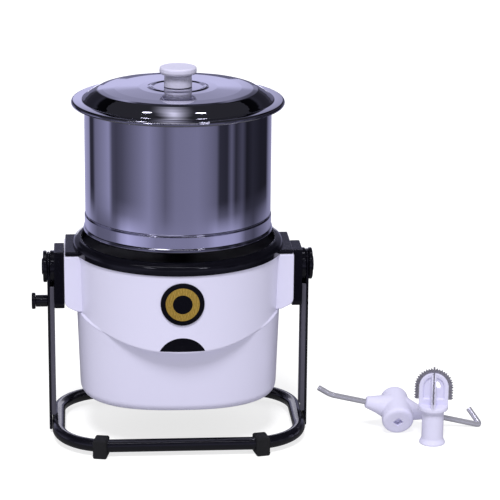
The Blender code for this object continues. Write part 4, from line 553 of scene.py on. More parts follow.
# %% rings of the housing
RING_STEPS = 256
WALL = 0.003
BODY_BOTTOM_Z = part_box("housing_lower")[0].z
BODY_TOP_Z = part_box("housing_upper")[1].z
BULGE_FOOT_R = 0.1275
BULGE_TOP_R = 0.129
LIP_HALF_X, LIP_HALF_Y = 0.1268, 0.110
FOOT_HALF_X, FOOT_HALF_Y = 0.1235, 0.099
BODY_POWER = 2.5
FOOT_EDGE = 0.013
LIP_Z, LIP_CLIMB, LIP_REACH = 0.142, 0.021, 0.113
SEAM_RISE, FULL_GAP = 0.003, 0.004     # the seam rises under the bulge, by so much where it overhangs fully
NOSE_HIGH = 0.0035


def lip_height(across):
    """The lip climbs from the front to the sides."""
    return LIP_Z + LIP_CLIMB * (across / LIP_REACH) ** 2


def squared(half_x, half_y, angle):
    reach = (abs(math.cos(angle) / half_x) ** BODY_POWER + abs(math.sin(angle) / half_y) ** BODY_POWER)
    reach = reach ** (-1 / BODY_POWER)
    return reach * math.cos(angle), reach * math.sin(angle)


def lip_point(angle, inset=0.0):
    """Where the two mouldings meet: the point, its height, and how far the bulge overhangs it."""
    outer = squared(LIP_HALF_X, LIP_HALF_Y, angle)
    gap = max(BULGE_FOOT_R - math.hypot(*outer), 0)
    height = lip_height(outer[0]) + SEAM_RISE * min(gap / FULL_GAP, 1)
    return (*squared(LIP_HALF_X - inset, LIP_HALF_Y - inset, angle), height), gap


def foot_point(angle, inset, height):
    return (*squared(FOOT_HALF_X - inset, FOOT_HALF_Y - inset, angle), height)


def between(low, high, share):
    return tuple(a + (b - a) * share for a, b in zip(low, high))


def lowered(point):
    return (*point[:2], point[2] - FIT)


def skinned(rules):
    """Closed rings, one for each rule of the angle, joined in turn and the last to the first."""
    bm = bmesh.new()
    angles = [FULL_TURN * step / RING_STEPS for step in range(RING_STEPS)]
    loops = [[bm.verts.new(rule(angle)) for angle in angles] for rule in rules]
    for low, high in zip(loops, loops[1:] + loops[:1]):
        bridge(bm, low, high)
    return outward(to_mesh(bm))


print("lip at the front", LIP_Z, "and at the sides", round(lip_height(LIP_HALF_X), 4))

# %% the lower moulding
def bucket_rules():
    rules = []
    for step in range(9):
        turn = QUARTER * step / 8
        inset, rise = FOOT_EDGE * (1 - math.sin(turn)), FOOT_EDGE * (1 - math.cos(turn))
        rules.append(lambda angle, i=inset, r=rise: foot_point(angle, i, BODY_BOTTOM_Z + r))
    for share in (0.02, 0.2, 0.4, 0.6, 0.8, 0.97):
        rules.append(lambda angle, s=share: between(
            foot_point(angle, 0, BODY_BOTTOM_Z + FOOT_EDGE), lip_point(angle)[0], s))
    ledge_z = BODY_BOTTOM_Z + 0.0036
    rules += [
        lambda angle: lowered(lip_point(angle)[0]),
        lambda angle: lowered((*lip_point(angle, WALL)[0][:2], lip_point(angle)[0][2])),
        lambda angle: foot_point(angle, WALL, ledge_z + 0.013),
        lambda angle: foot_point(angle, FOOT_EDGE - WALL, ledge_z + WALL),
        lambda angle: foot_point(angle, FOOT_EDGE + 0.008, ledge_z + WALL),
        lambda angle: foot_point(angle, FOOT_EDGE + 0.008, ledge_z),
        lambda angle: foot_point(angle, FOOT_EDGE, ledge_z),
    ]
    return rules


def box_mesh(low, high):
    bm = bmesh.new()
    bmesh.ops.create_cube(bm, size=1)
    for vertex in bm.verts:
        vertex.co = Vector((high[k] if vertex.co[k] > 0 else low[k] for k in range(3)))
    return to_mesh(bm)


def pushed(outline, start, end, across):
    """A flat outline pushed along the axis named across."""
    ways = {"X": lambda u, v, w: (w, u, v), "Y": lambda u, v, w: (u, w, v), "Z": lambda u, v, w: (u, v, w)}
    turn = ways[across]
    bm = bmesh.new()
    near = [bm.verts.new(turn(u, v, start)) for u, v in outline]
    far = [bm.verts.new(turn(u, v, end)) for u, v in outline]
    bm.faces.new(near)
    bm.faces.new(list(reversed(far)))
    for step in range(len(outline)):
        after = (step + 1) % len(outline)
        bm.faces.new((near[step], far[step], far[after], near[after]))
    return outward(to_mesh(bm))


def set_at_axis(mesh):
    """Moves a mesh that was written about the drum axis to its place in the world."""
    mesh.transform(Matrix.Translation((AXIS_X, 0, 0)))
    return mesh


EAR_X = 0.1417
EAR_ROOT_X = 0.119
EAR_HALF = 0.043
EAR_FOOT_Z = 0.170
GLAND_Z = middle_z("cable_gland")
bucket = skinned(bucket_rules())
for side in (-1, 1):
    inner, outer = sorted((side * (EAR_ROOT_X - FIT), side * EAR_X))
    notch = box_mesh((inner, -EAR_HALF - FIT, EAR_FOOT_Z - FIT), (outer, EAR_HALF + FIT, BODY_TOP_Z))
    bucket = carved(bucket, notch)
GLAND_HOLE = ((0, 0.085, 0), (0.0078, 0.085, 0), (0.0078, 0.115, 0), (0, 0.115, 0))
gland_hole = turned(GLAND_HOLE, "rubber", lying("Y", 1, (0, 0, GLAND_Z)), 48)
bucket = carved(bucket, gland_hole)
settle("housing_bucket", set_at_axis(bucket), "white_plastic", "housing_lower")

# %% [markdown]
# The upper moulding's nose is rounded, because a sharp one would show as a hard white line and the real lip
# turns under softly. The ears are separate blocks with a soft bevel, pushed into the bulge and joined to
# it, and the half-moon opening for the switch is cut straight in from the front, as its core pin does in
# the mould.

# %% the upper moulding
def nose_rule(share):
    """Round the lip's nose: from its lowest edge, past the corner, to the foot of the bulge."""
    def rule(angle):
        (x, y, _), gap = lip_point(angle)
        reach = math.hypot(x, y)
        base = lip_height(x)
        edge = base + 0.001 * (1 - min(gap / FULL_GAP, 1))
        low = (reach + max(gap - NOSE_HIGH, 0), edge)
        corner = (reach + gap, edge)
        top = (BULGE_FOOT_R, base + NOSE_HIGH)
        out = tuple((1 - share) ** 2 * a + 2 * share * (1 - share) * b + share ** 2 * c
                    for a, b, c in zip(low, corner, top))
        return math.cos(angle) * out[0], math.sin(angle) * out[0], out[1]
    return rule


def on_circle(radius, angle, height):
    return radius * math.cos(angle), radius * math.sin(angle), height


def bulge_rules():
    def seam_x(angle):
        return lip_point(angle)[0][0]
    rules = [lambda angle: lip_point(angle)[0]]
    rules += [nose_rule(step / 6) for step in range(7)]
    for share in (0.1, 0.35, 0.6, 0.85, 0.99):
        rules.append(lambda angle, s=share: on_circle(
            BULGE_FOOT_R + (BULGE_TOP_R - BULGE_FOOT_R) * s, angle,
            (lip_height(seam_x(angle)) + NOSE_HIGH) * (1 - s) + BODY_TOP_Z * s))
    rules += [
        lambda angle: on_circle(BULGE_TOP_R, angle, BODY_TOP_Z),
        lambda angle: on_circle(BULGE_TOP_R - WALL, angle, BODY_TOP_Z),
        lambda angle: on_circle(BULGE_FOOT_R - WALL, angle, lip_height(seam_x(angle)) + 0.006),
        lambda angle: (*lip_point(angle, WALL)[0][:2], lip_point(angle)[0][2] + WALL),
        lambda angle: lip_point(angle, WALL)[0],
    ]
    return rules


def ear_mesh(side):
    """A flat cheek that curls in under itself to meet the bucket."""
    corners = [
        (side * EAR_ROOT_X, BODY_TOP_Z, 0), (side * EAR_X, BODY_TOP_Z, 0),
        (side * EAR_X, EAR_FOOT_Z + 0.008, 0.010), (side * (EAR_X - 0.0145), EAR_FOOT_Z + 0.0005, 0.010),
        (side * EAR_ROOT_X, EAR_FOOT_Z, 0),
    ]
    return with_soft_edges(pushed(rounded(corners, 8), -EAR_HALF, EAR_HALF, "Y"), 0.0016)


MOON_HALF, MOON_HEIGHT, MOON_CHORD_Z = 0.027, 0.017, 0.1455


def half_moon(margin, steps=40):
    """The switch's outline: an arc over a flat chord."""
    radius = (MOON_HALF ** 2 + MOON_HEIGHT ** 2) / (2 * MOON_HEIGHT)
    centre = MOON_CHORD_Z + MOON_HEIGHT - radius
    start = math.asin((MOON_CHORD_Z - margin - centre) / (radius + margin))
    points = []
    for step in range(steps + 1):
        angle = start + (math.pi - 2 * start) * step / steps
        points.append(((radius + margin) * math.cos(angle), centre + (radius + margin) * math.sin(angle)))
    first, last = Vector(points[-1]), Vector(points[0])
    points += [tuple(first.lerp(last, step / 24)) for step in range(1, 24)]
    return points


BOLT_R, BOLT_FOOT_X, BOLT_DROP = 0.0028, 0.112, 0.030
BOLT_HOLE = ((0, 0, 0), (BOLT_R, 0, 0), (BOLT_R, 0.045, 0), (0, 0.045, 0))


def bolt_hole(side, outline):
    place = lying("X", side, (side * BOLT_FOOT_X, 0, HINGE_Z - BOLT_DROP))
    return turned(outline, "zinc", place, 32)


bulge = skinned(bulge_rules())
for side in (-1, 1):
    bulge = carved(bulge, ear_mesh(side), "UNION")
for side in (-1, 1):
    bulge = carved(bulge, bolt_hole(side, BOLT_HOLE))
bulge = carved(bulge, pushed(half_moon(0.0005), -0.134, -0.1129, "Y"))
settle("housing_bulge", set_at_axis(bulge), "white_plastic", "housing_upper", sharp=38)

# %% [markdown]
# ## Collar
#
# A glossy black ring that covers the housing's top and keeps drips out of it. Its shoulder is round, its
# well runs under the drum, and a flat wing at each side covers the ear and the bracket's top. The
# shoulder's tight curve draws the studio's lights out into two thin lines, so it has many more rings than
# the flat parts.

# %% collar with its wings
COLLAR_Z = BODY_TOP_Z + FIT


def shoulder_corners(steps=18):
    """A quarter of an ellipse from the collar's side up to its inner lip."""
    turns = [QUARTER * k / steps for k in range(steps + 1)]
    return [(0.122 + 0.009 * math.cos(turn), COLLAR_Z + 0.006 + 0.0087 * math.sin(turn), 0) for turn in turns]


ring_outline = [
    *lifted(COLLAR_Z, ((0.1180, 0, 0), (0.131, 0, 0.0008))), *shoulder_corners(),
    *lifted(COLLAR_Z, ((0.1208, 0.0146, 0.0002), (0.1208, 0.0045, 0), (0.1180, 0.0045, 0))),
]
well_outline = lifted(COLLAR_Z, (
    (0.022, 0.002, 0), (0.1175, 0.002, 0), (0.1175, 0, 0), (0.1200, 0, 0), (0.1205, 0.0135, 0),
    (0.1198, 0.0135, 0), (0.1194, 0.005, 0.001), (0.022, 0.005, 0),
))
collar = turned(ring_outline, "black_plastic", steps=FINE_STEPS, arc_steps=10)
settle_turned("collar_well", well_outline, "matt_black", "collar", steps=FINE_STEPS)
wings = []
for side in (-1, 1):
    inner, outer = sorted((side * 0.1215, side * 0.1405))
    wing = box_mesh((inner, -0.041, COLLAR_Z), (outer, 0.041, COLLAR_Z + 0.0055))
    wings.append(set_at_axis(with_soft_edges(wing, 0.0014, 4)))
settle("collar_ring", together([collar] + wings), "black_plastic", "collar")

# %% [markdown]
# ## Hinge brackets, pins and the lock
#
# Each bracket is a black block bolted to an ear, with a round boss that the pivot pin turns in. The pin has
# a wide stepped head outside the upright. On the left a spring plunger sits in a short barrel, and its
# ribbed flange is what a hand pulls to let the housing tip.

# %% brackets, with their bores and sunk bolts
BOSS_FACE_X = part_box("bracket_right")[1].x - AXIS_X
BOSS_FOOT_X, BOSS_R = 0.146, 0.020
BORE_FOOT_X, BORE_R = 0.1455, 0.0113
SUNK_R, SUNK_FROM = 0.0048, 0.0388
SUNK_BOLT = (
    (0, 0, 0), (BOLT_R, 0, 0), (BOLT_R, SUNK_FROM, 0), (SUNK_R, SUNK_FROM, 0), (SUNK_R, 0.06, 0),
    (0, 0.06, 0),
)
BLOCK_HALF, BLOCK_FOOT_Z, BLOCK_BEND = 0.022, 0.1665, 0.008


def bracket_mesh(side):
    near, far = side * 0.142, side * 0.1544
    corners = [(BLOCK_HALF, BODY_TOP_Z, 0), (-BLOCK_HALF, BODY_TOP_Z, 0),
               (-BLOCK_HALF, BLOCK_FOOT_Z, BLOCK_BEND), (BLOCK_HALF, BLOCK_FOOT_Z, BLOCK_BEND)]
    block = with_soft_edges(pushed(rounded(corners, 8), near, far, "X"), 0.0012)
    high = BOSS_FACE_X - BOSS_FOOT_X
    boss = ((0, 0, 0), (BOSS_R, 0, 0), (BOSS_R, high, 0.0015), (0, high, 0))
    bore = ((0, 0, 0), (BORE_R, 0, 0), (BORE_R, 0.04, 0), (0, 0.04, 0))
    for outline, foot, operation in ((boss, BOSS_FOOT_X, "UNION"), (bore, BORE_FOOT_X, "DIFFERENCE")):
        place = lying("X", side, (side * foot, 0, HINGE_Z))
        block = carved(block, turned(outline, "zinc", place, 64), operation)
    return carved(block, bolt_hole(side, SUNK_BOLT))


for side, word in SIDES:
    settle("hinge_block_" + word, set_at_axis(bracket_mesh(side)), "black_plastic", "bracket_" + word)

# %% pivot pins with stepped heads
PIN_END_X = 0.1633         # the uprights' outer face, from the drum axis
pin_outline = [
    (0, -0.0175, 0), (0.008, -0.0175, 0.0006), (0.008, FIT, 0.0004), (0.0198, FIT, 0.0008),
    (0.0200, 0.0042, 0.0012), (0.0176, 0.0052, 0.0010), (0.0168, 0.0036, 0.0008), (0.0110, 0.0036, 0.0008),
    (0.0098, 0.0065, 0.0016), (0, 0.0068, 0),
]
for side, word in SIDES:
    place = lying("X", side, (AXIS_X + side * PIN_END_X, 0, HINGE_Z))
    name, node = "hinge_pin_" + word, "pivot_bolt_" + word
    settle_turned(name, pin_outline, "black_plastic", node, place=place, steps=96)

# %% plunger barrel and its ribbed flange
LOCK_Z = middle_z("lock_pin")
FLANGE_RIBS = 28
barrel_x = PIN_END_X + FIT
lock_left = lying("X", -1, (AXIS_X - barrel_x, 0, LOCK_Z))
barrel_outline = [
    (0.0063, 0, 0), (0.0075, 0, 0.0004), (0.0075, 0.0145, 0.0008), (0.0038, 0.0145, 0), (0.0038, 0.0133, 0),
    (0.0063, 0.0133, 0),
]
settle_turned("plunger_barrel", barrel_outline, "black_paint", "lock_barrel", place=lock_left, steps=64)

tree, given = new_tree("ribs_round_a_disc", ("Ribs", "Int"), ("Reach", "Float"), ("Rib", "Vector"))
circle = add_node(tree, "GeometryNodeCurvePrimitiveCircle", {
    "Resolution": given["Ribs"], "Radius": given["Reach"]})
spots = add_node(tree, "GeometryNodeCurveToPoints", {"Curve": circle.outputs[0]}, mode="EVALUATED")
rib = add_node(tree, "GeometryNodeMeshCube", {"Size": given["Rib"]})
ribs = add_node(tree, "GeometryNodeInstanceOnPoints", {
    "Points": spots.outputs["Points"], "Instance": rib.outputs[0], "Rotation": spots.outputs["Rotation"]})
joined = add_node(tree, "GeometryNodeJoinGeometry")
tree.links.new(given["Geometry"], joined.inputs[0])
tree.links.new(ribs.outputs[0], joined.inputs[0])
disc_ribs = end_tree(tree, given, joined.outputs[0])

flange_outline = [
    (0, -0.0089, 0), (0.0035, -0.0089, 0.0006), (0.0035, 0.0148, 0), (0.0099, 0.0148, 0.0006),
    (0.0099, 0.0195, 0.0008), (0, 0.0195, 0),
]
flange = turned(flange_outline, "black_paint", Matrix(), 84)
rib_ring = grown(disc_ribs, path_mesh([(0, 0, 0)], False), "black_paint", Ribs=FLANGE_RIBS, Reach=0.0098,
                 Rib=(0.0009, 0.0037, 0.0014))
rib_ring.transform(Matrix.Translation((0, 0, 0.01715)))
flange = together([flange, rib_ring])
flange.transform(lock_left)
settle("plunger_flange", flange, "black_paint", "lock_pin")

# %% [markdown]
# ## Stand
#
# The base is one steel tube bent into a loop with four wide corners and welded shut. A node tree draws it
# the way a bender does: four corner points, a bend radius and a tube radius. The two uprights are strips
# pressed into channels with rolled front edges. Those edges catch a softer light than the flat face beside
# them, and that light is a painted highlight: the lips carry a lighter paint colour.

# %% the bender, and the base loop
tree, given = new_tree("bent_tube", ("Bend radius", "Float"), ("Bend steps", "Int"), ("Tube radius", "Float"),
                       ("Sides", "Int"))
line = add_node(tree, "GeometryNodeMeshToCurve", {0: given["Geometry"]})
bend = add_node(tree, "GeometryNodeFilletCurve", {
    "Curve": line.outputs[0], "Count": given["Bend steps"], "Radius": given["Bend radius"],
    "Limit Radius": True,
}, mode="POLY")
section = add_node(tree, "GeometryNodeCurvePrimitiveCircle", {
    "Resolution": given["Sides"], "Radius": given["Tube radius"]})
drawn = add_node(tree, "GeometryNodeCurveToMesh", {
    "Curve": bend.outputs[0], "Profile Curve": section.outputs[0], "Fill Caps": True})
bent_tube = end_tree(tree, given, drawn.outputs[0])

TUBE_R = 0.008
TUBE_Z = 0.014
LOOP_X, LOOP_Y, LOOP_BEND_R = 0.1515, 0.097, 0.065
loop_corners = [(AXIS_X + x * LOOP_X, y * LOOP_Y, TUBE_Z) for x, y in ((1, 1), (-1, 1), (-1, -1), (1, -1))]
loop = grown(bent_tube, path_mesh(loop_corners, True), "black_paint", Bend_radius=LOOP_BEND_R, Bend_steps=28,
             Tube_radius=TUBE_R, Sides=40)
settle("tube_loop", loop, "black_paint", "base_frame", sharp=60)
print("loop of tube:", round(2 * TUBE_R * 1000, 1), "mm thick")

# %% rubber clip feet
FOOT_SIDE, FOOT_WIDTH = 0.024, 0.0175
for sign_x, word_x in SIDES:
    for word_y, sign_y, foot_x in (("front", -1, 0.099), ("rear", 1, 0.072)):
        swing = math.asin(max(foot_x - (LOOP_X - LOOP_BEND_R), 0) / LOOP_BEND_R)
        body = box_mesh((-FOOT_WIDTH / 2, -FOOT_SIDE / 2, 0), (FOOT_WIDTH / 2, FOOT_SIDE / 2, FOOT_SIDE))
        body = with_soft_edges(body, 0.0026, 4)
        rib = box_mesh((-FOOT_WIDTH / 2 - 0.0004, -0.0100, 0.0030), (FOOT_WIDTH / 2 + 0.0004, 0.0100, 0.0042))
        foot = together([body, with_soft_edges(rib, 0.0003, 1)])
        foot.transform(Matrix.Rotation(-sign_x * sign_y * swing, 4, "Z"))
        foot_y = sign_y * (LOOP_Y - LOOP_BEND_R + LOOP_BEND_R * math.cos(swing))
        foot.transform(Matrix.Translation((AXIS_X + sign_x * foot_x, foot_y, 0)))
        settle("clip_foot_" + word_y + "_" + word_x, foot, "rubber", "foot_" + word_y + "_" + word_x)

# %% pressed uprights
WEB_X, WEB_OUTER_X = 0.1598, 0.1633
UPRIGHT_HALF = 0.015


def upright_mesh(side):
    web_top = HINGE_Z + 0.018
    corners = [(-UPRIGHT_HALF, 0.005, 0.002), (UPRIGHT_HALF, 0.005, 0.002), (UPRIGHT_HALF, web_top, 0.012),
               (-UPRIGHT_HALF, web_top, 0.012)]
    web = with_soft_edges(pushed(rounded(corners, 10), side * WEB_X, side * WEB_OUTER_X, "X"), 0.0016, 4)
    inner, outer = sorted((side * (WEB_X - 0.005), side * (WEB_X + 0.0004)))
    lips = []
    for sign in (-1, 1):
        near, far = sorted((sign * UPRIGHT_HALF, sign * (UPRIGHT_HALF - 0.003)))
        lips.append(with_soft_edges(box_mesh((inner, near, 0.025), (outer, far, HINGE_Z - 0.023)), 0.0007, 2))
    return web, together(lips)


for side, word in SIDES:
    web, lips = upright_mesh(side)
    settle("channel_" + word, set_at_axis(web), "black_paint", "upright_" + word)
    # the lips take the lighter paint, which is a painted highlight
    settle("channel_lips_" + word, set_at_axis(lips), "painted_lip_highlight", "upright_" + word)

# %% [markdown]
# ## Front: badge and switch
#
# The badge is a thin domed disc bent round the bulge, with a plain gold ring on it. The half-moon push
# button below it is bent the same way and sits a hair inside its opening. Both are built as an outline
# shrunk in steps towards its middle, each step laid on the bulge's curve and lifted by a rounded edge.

# %% plates bent round the bulge
def bent_plate(outline, centre, curve_r, thick, edge, inner_steps=10, hole=None):
    """An outline of (x, z) laid on a cylinder about the drum axis. With a hole, it's a ring down to there."""
    def at(share, lift):
        ring = []
        for x, z in outline:
            x, z = x * share, centre + (z - centre) * share
            radius = curve_r + lift
            ring.append((x, -math.sqrt(radius ** 2 - x * x), z))
        return ring
    reach = max(math.hypot(x, z - centre) for x, z in outline)
    rings = [at(1, 0)]
    for step in range(7):
        turn = QUARTER * step / 6
        rings.append(at(1 - edge / reach * (1 - math.cos(turn)), thick - edge + edge * math.sin(turn)))
    last = 1 - edge / reach
    if hole:
        for step in range(6, -1, -1):
            turn = QUARTER * step / 6
            rings.append(at(hole + edge / reach * (1 - math.cos(turn)), thick - edge + edge * math.sin(turn)))
        rings.append(at(hole, 0))
    else:
        rings += [at(last * (1 - step / inner_steps), thick) for step in range(1, inner_steps)]
    bm = bmesh.new()
    loops = [[bm.verts.new(point) for point in ring] for ring in rings]
    pairs = list(zip(loops, loops[1:])) + ([(loops[-1], loops[0])] if hole else [])
    for low, high in pairs:
        bridge(bm, low, high)
    if not hole:
        middle = bm.verts.new((0, -curve_r - thick, centre))
        back = bm.verts.new((0, -curve_r, centre))
        for step in range(len(outline)):
            after = (step + 1) % len(outline)
            bm.faces.new((loops[-1][step], loops[-1][after], middle))
            bm.faces.new((loops[0][after], loops[0][step], back))
    return set_at_axis(outward(to_mesh(bm)))


BADGE_Z = middle_z("badge")
BADGE_R, RING_R = 0.0265, 0.0205


def round_outline(radius, height, steps=96):
    return [(radius * math.cos(FULL_TURN * k / steps), height + radius * math.sin(FULL_TURN * k / steps))
            for k in range(steps)]


badge_base = BULGE_TOP_R + FIT
badge = bent_plate(round_outline(BADGE_R, BADGE_Z), BADGE_Z, badge_base - 0.002, 0.003, 0.0007)
settle("badge_disc", badge, "black_plastic", "badge")
ring = bent_plate(round_outline(RING_R, BADGE_Z), BADGE_Z, badge_base + 0.0007, 0.0010, 0.0004, hole=0.576)
settle("gold_ring", ring, "gold", "badge_ring")

# %% half-moon push button with a pressed dot
moon_middle = MOON_CHORD_Z + 0.006
button = bent_plate(half_moon(0), moon_middle, BULGE_FOOT_R - 0.0079, 0.0073, 0.0012)
dot_z = MOON_CHORD_Z + 0.0045
dot = bent_plate(round_outline(0.0022, dot_z, 32), dot_z, BULGE_FOOT_R - 0.0016, 0.0013, 0.0005, 4)
settle("push_button", together([button, dot]), "black_plastic", "switch_button")

# %% [markdown]
# ## Underside and rear
#
# A black cover closes the bucket from below. Real ones are moulded with rows of cooling slots under the
# motor and are held by a few screws. The slots repeat, so a node tree sets one down at each point, and the
# four screws are turned one at a time. A gland at the rear guides a power cable.

# %% bottom cover with slots and screws
COVER_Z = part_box("bottom_cover")[0].z
COVER_GAP, COVER_STEPS = 0.0005, 96
cover_x, cover_y = FOOT_HALF_X - FOOT_EDGE - COVER_GAP, FOOT_HALF_Y - FOOT_EDGE - COVER_GAP
cover_outline = [squared(cover_x, cover_y, FULL_TURN * k / COVER_STEPS) for k in range(COVER_STEPS)]
cover = with_soft_edges(pushed(cover_outline, COVER_Z, COVER_Z + 0.003, "Z"), 0.0006, 2)

tree, given = new_tree("set_down_at_points", ("Size", "Vector"))
slot = add_node(tree, "GeometryNodeMeshCube", {"Size": given["Size"]})
points = add_node(tree, "GeometryNodeMeshToPoints", {0: given["Geometry"]})
laid = add_node(tree, "GeometryNodeInstanceOnPoints", {
    "Points": points.outputs[0], "Instance": slot.outputs[0]})
set_down = end_tree(tree, given, laid.outputs[0])
slot_spots = [(0.070 + column * 0.034 - 0.051, row * 0.0085 - 0.034, COVER_Z) for column in range(3)
              for row in range(9)]
slots = grown(set_down, path_mesh(slot_spots, False), "black_plastic", Size=(0.027, 0.0036, 0.012))
cover = carved(cover, slots)
screws = []
SCREW_X, SCREW_Y, SCREW_R = 0.088, 0.055, 0.0034
SCREW = ((0, -0.0001, 0), (SCREW_R, -0.0001, 0.0005), (SCREW_R, 0.0008, 0), (0, 0.0008, 0))
for x in (-SCREW_X, SCREW_X):
    for y in (-SCREW_Y, SCREW_Y):
        screws.append(turned(SCREW, "zinc", Matrix.Translation((x, y, COVER_Z)), 24))
settle("under_cover", set_at_axis(together([cover] + screws)), "black_plastic", "bottom_cover")

# %% cable gland
GLAND_FACE_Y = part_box("cable_gland")[1].y - 0.003
gland_outline = [
    (0.0034, -0.013, 0), (0.0075, -0.013, 0.0005), (0.0075, 0, 0), (0.010, 0, 0.0004),
    (0.0096, 0.003, 0.0012), (0.0034, 0.003, 0.0010),
]
gland_place = lying("Y", 1, (AXIS_X, GLAND_FACE_Y, GLAND_Z))
settle_turned("gland", gland_outline, "black_plastic", "cable_gland", place=gland_place, steps=64)

# %% [markdown]
# ## Inside the drum
#
# Under the lid two cone-shaped granite rollers roll on a flat granite floor. They hang from a black holder
# that sits on the centre post, and a wiper arm keeps the batter moving. The stones are turned with a small
# dressed edge. The holder, the arm and the blade are cast or folded pieces, so they take the frame's own
# shape with its corners softened.

# %% floor stone, rollers and axles
stone_low, stone_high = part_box("base_stone")
STONE_BORE_R, STONE_R = 0.020, 0.108
stone_outline = [
    (STONE_BORE_R, stone_low.z, 0), (STONE_R, stone_low.z, 0.0006), (STONE_R, stone_high.z, 0.0024),
    (STONE_BORE_R, stone_high.z, 0.0012),
]
settle_turned("floor_stone", stone_outline, "granite", "base_stone", steps=160)

CONE_ANGLE = math.radians(27)
APEX_Z = stone_high.z + FIT
near, far = 0.040 * math.cos(CONE_ANGLE), 0.100 * math.cos(CONE_ANGLE)
slope = math.tan(CONE_ANGLE)
ROLLER_BORE_R, AXLE_R, AXLE_HEAD_R = 0.0065, 0.006, 0.009
roller_outline = [
    (ROLLER_BORE_R, near, 0), (near * slope, near, 0.0012), (far * slope, far, 0.0042), (0.020, far, 0.001),
    (0.019, far - 0.0006, 0.0005), (ROLLER_BORE_R, far - 0.0006, 0),
]
axle_outline = [
    *lifted(near, ((0, -0.0033, 0), (AXLE_HEAD_R, -0.0033, 0.0008), (AXLE_HEAD_R, -FIT, 0.0004),
                   (AXLE_R, -FIT, 0))),
    *lifted(far, ((AXLE_R, 0.0101, 0), (AXLE_HEAD_R, 0.0101, 0.0004), (AXLE_HEAD_R, 0.0161, 0.0010),
                  (0, 0.0161, 0))),
]
for side, word in SIDES:
    lean = Matrix.Rotation(side * (QUARTER - CONE_ANGLE), 4, "Y")
    lean = Matrix.Translation((AXIS_X, 0, APEX_Z)) @ lean
    settle_turned("stone_cone_" + word, roller_outline, "granite", "roller_" + word, place=lean)
    settle_turned("axle_" + word, axle_outline, "steel", "roller_axle_" + word, place=lean, steps=64)

# %% holder, arm and blade: the frame's shapes with softened corners
def softened(node, width):
    """A copy of the frame's piece, its flat faces whole again and its corners rounded."""
    bm = bmesh.new()
    bm.from_mesh(frame["nodes"][node].data)
    bmesh.ops.remove_doubles(bm, verts=bm.verts, dist=0.000002)
    bmesh.ops.dissolve_limit(bm, angle_limit=math.radians(0.5), verts=bm.verts, edges=bm.edges)
    return with_soft_edges(to_mesh(bm), width)


for name, node, finish, width in (
    ("cross_holder", "stone_holder", "black_plastic", 0.0008), ("folded_arm", "wiper_arm", "steel", 0.0006),
    ("wiper_strip", "wiper_blade", "nylon", 0.0008), ("catch_knob", "holder_knob", "black_plastic", 0.0008),
):
    settle(name, softened(node, width), finish, node)

# %% hub and post
hub_low, hub_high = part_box("drum_hub")
HUB_BORE_R, HUB_FLANGE_R = 0.0133, 0.045
flange_low, flange_high = DRUM_FOOT_Z - 0.0065, DRUM_FOOT_Z - FIT
hub_outline = [
    (HUB_BORE_R, hub_low.z, 0), (HUB_R, hub_low.z, 0.0006), (HUB_R, flange_low, 0),
    (HUB_FLANGE_R, flange_low, 0.0006), (HUB_FLANGE_R, flange_high, 0.0006), (HUB_R, flange_high, 0),
    (HUB_R, hub_high.z, 0.0012), (HUB_BORE_R, hub_high.z, 0.0006),
]
settle_turned("hub_tube", hub_outline, "steel", "drum_hub", steps=96)
post_low, post_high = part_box("centre_post")
POST_TOP, SQUARE_HALF = 0.350, 0.0045
post_outline = [
    (0, post_low.z, 0), (0.005, post_low.z, 0.0006), (0.005, 0.1643, 0), (0.012, 0.1643, 0.0006),
    (0.012, 0.1783, 0.0006), (0.008, 0.1783, 0), (0.008, POST_TOP, 0.0006), (0.0035, POST_TOP, 0),
    (0.0035, post_high.z, 0.0008), (0, post_high.z, 0),
]
square = box_mesh((-SQUARE_HALF, -SQUARE_HALF, POST_TOP - FIT), (SQUARE_HALF, SQUARE_HALF, POST_TOP + 0.022))
post = together([turned(post_outline, "steel", steps=64), set_at_axis(with_soft_edges(square, 0.0005, 2))])
settle("square_post", post, "steel", "centre_post")

# %% [markdown]
# ## Coconut scraper
#
# It stands by itself at the machine's right: a moulded core with a flared foot, and a cage of two crossed
# ribs that carry two crossed saw bands. The cage is one smooth moulding, so its ribs are joined, turned
# into a fine even skin and smoothed until the corners run together. A saw band has its teeth set
# alternately left and right, which gives the strokes of light and dark along it.

# %% scraper core: turned foot, neck and rim, with a smoothed cage
SCRAPER_PLACE = Matrix.Translation((AXIS_X + 0.317, -0.070, 0))
SCRAPER_TURN = Matrix.Rotation(math.radians(-9.4), 4, "Z")
NECK_R, CUP_R, CUP_Z, CUP_TOP_Z = 0.0136, 0.0185, 0.045, 0.051
RIB_THICK, RIB_R = 0.0056, 0.0184
WINDOW_SIDE, WINDOW_R, WINDOW_FOOT_Z = 0.0028, 0.0085, 0.0735
POCKET_SIDE, POCKET_R, POCKET_FOOT_Z, POCKET_DEEP = 0.0036, 0.0128, 0.0590, 0.0017
DOME_Z = 0.0745
SOCKET_HALF = 0.0048


def arch(radius, foot, steps=24):
    """Up one side, over the dome and down the other."""
    points = [(radius, foot)]
    points += [(radius * math.cos(math.pi * k / steps), DOME_Z + radius * math.sin(math.pi * k / steps))
               for k in range(steps + 1)]
    return points + [(-radius, foot)]


def opening(near, radius, foot, sign):
    """A tall opening beside the middle, round at the top like the dome."""
    lean = math.acos(near / radius)
    points = [(near, foot), (radius, foot)]
    points += [(radius * math.cos(lean * k / 8), DOME_Z + radius * math.sin(lean * k / 8)) for k in range(9)]
    return [(sign * u, v) for u, v in points]


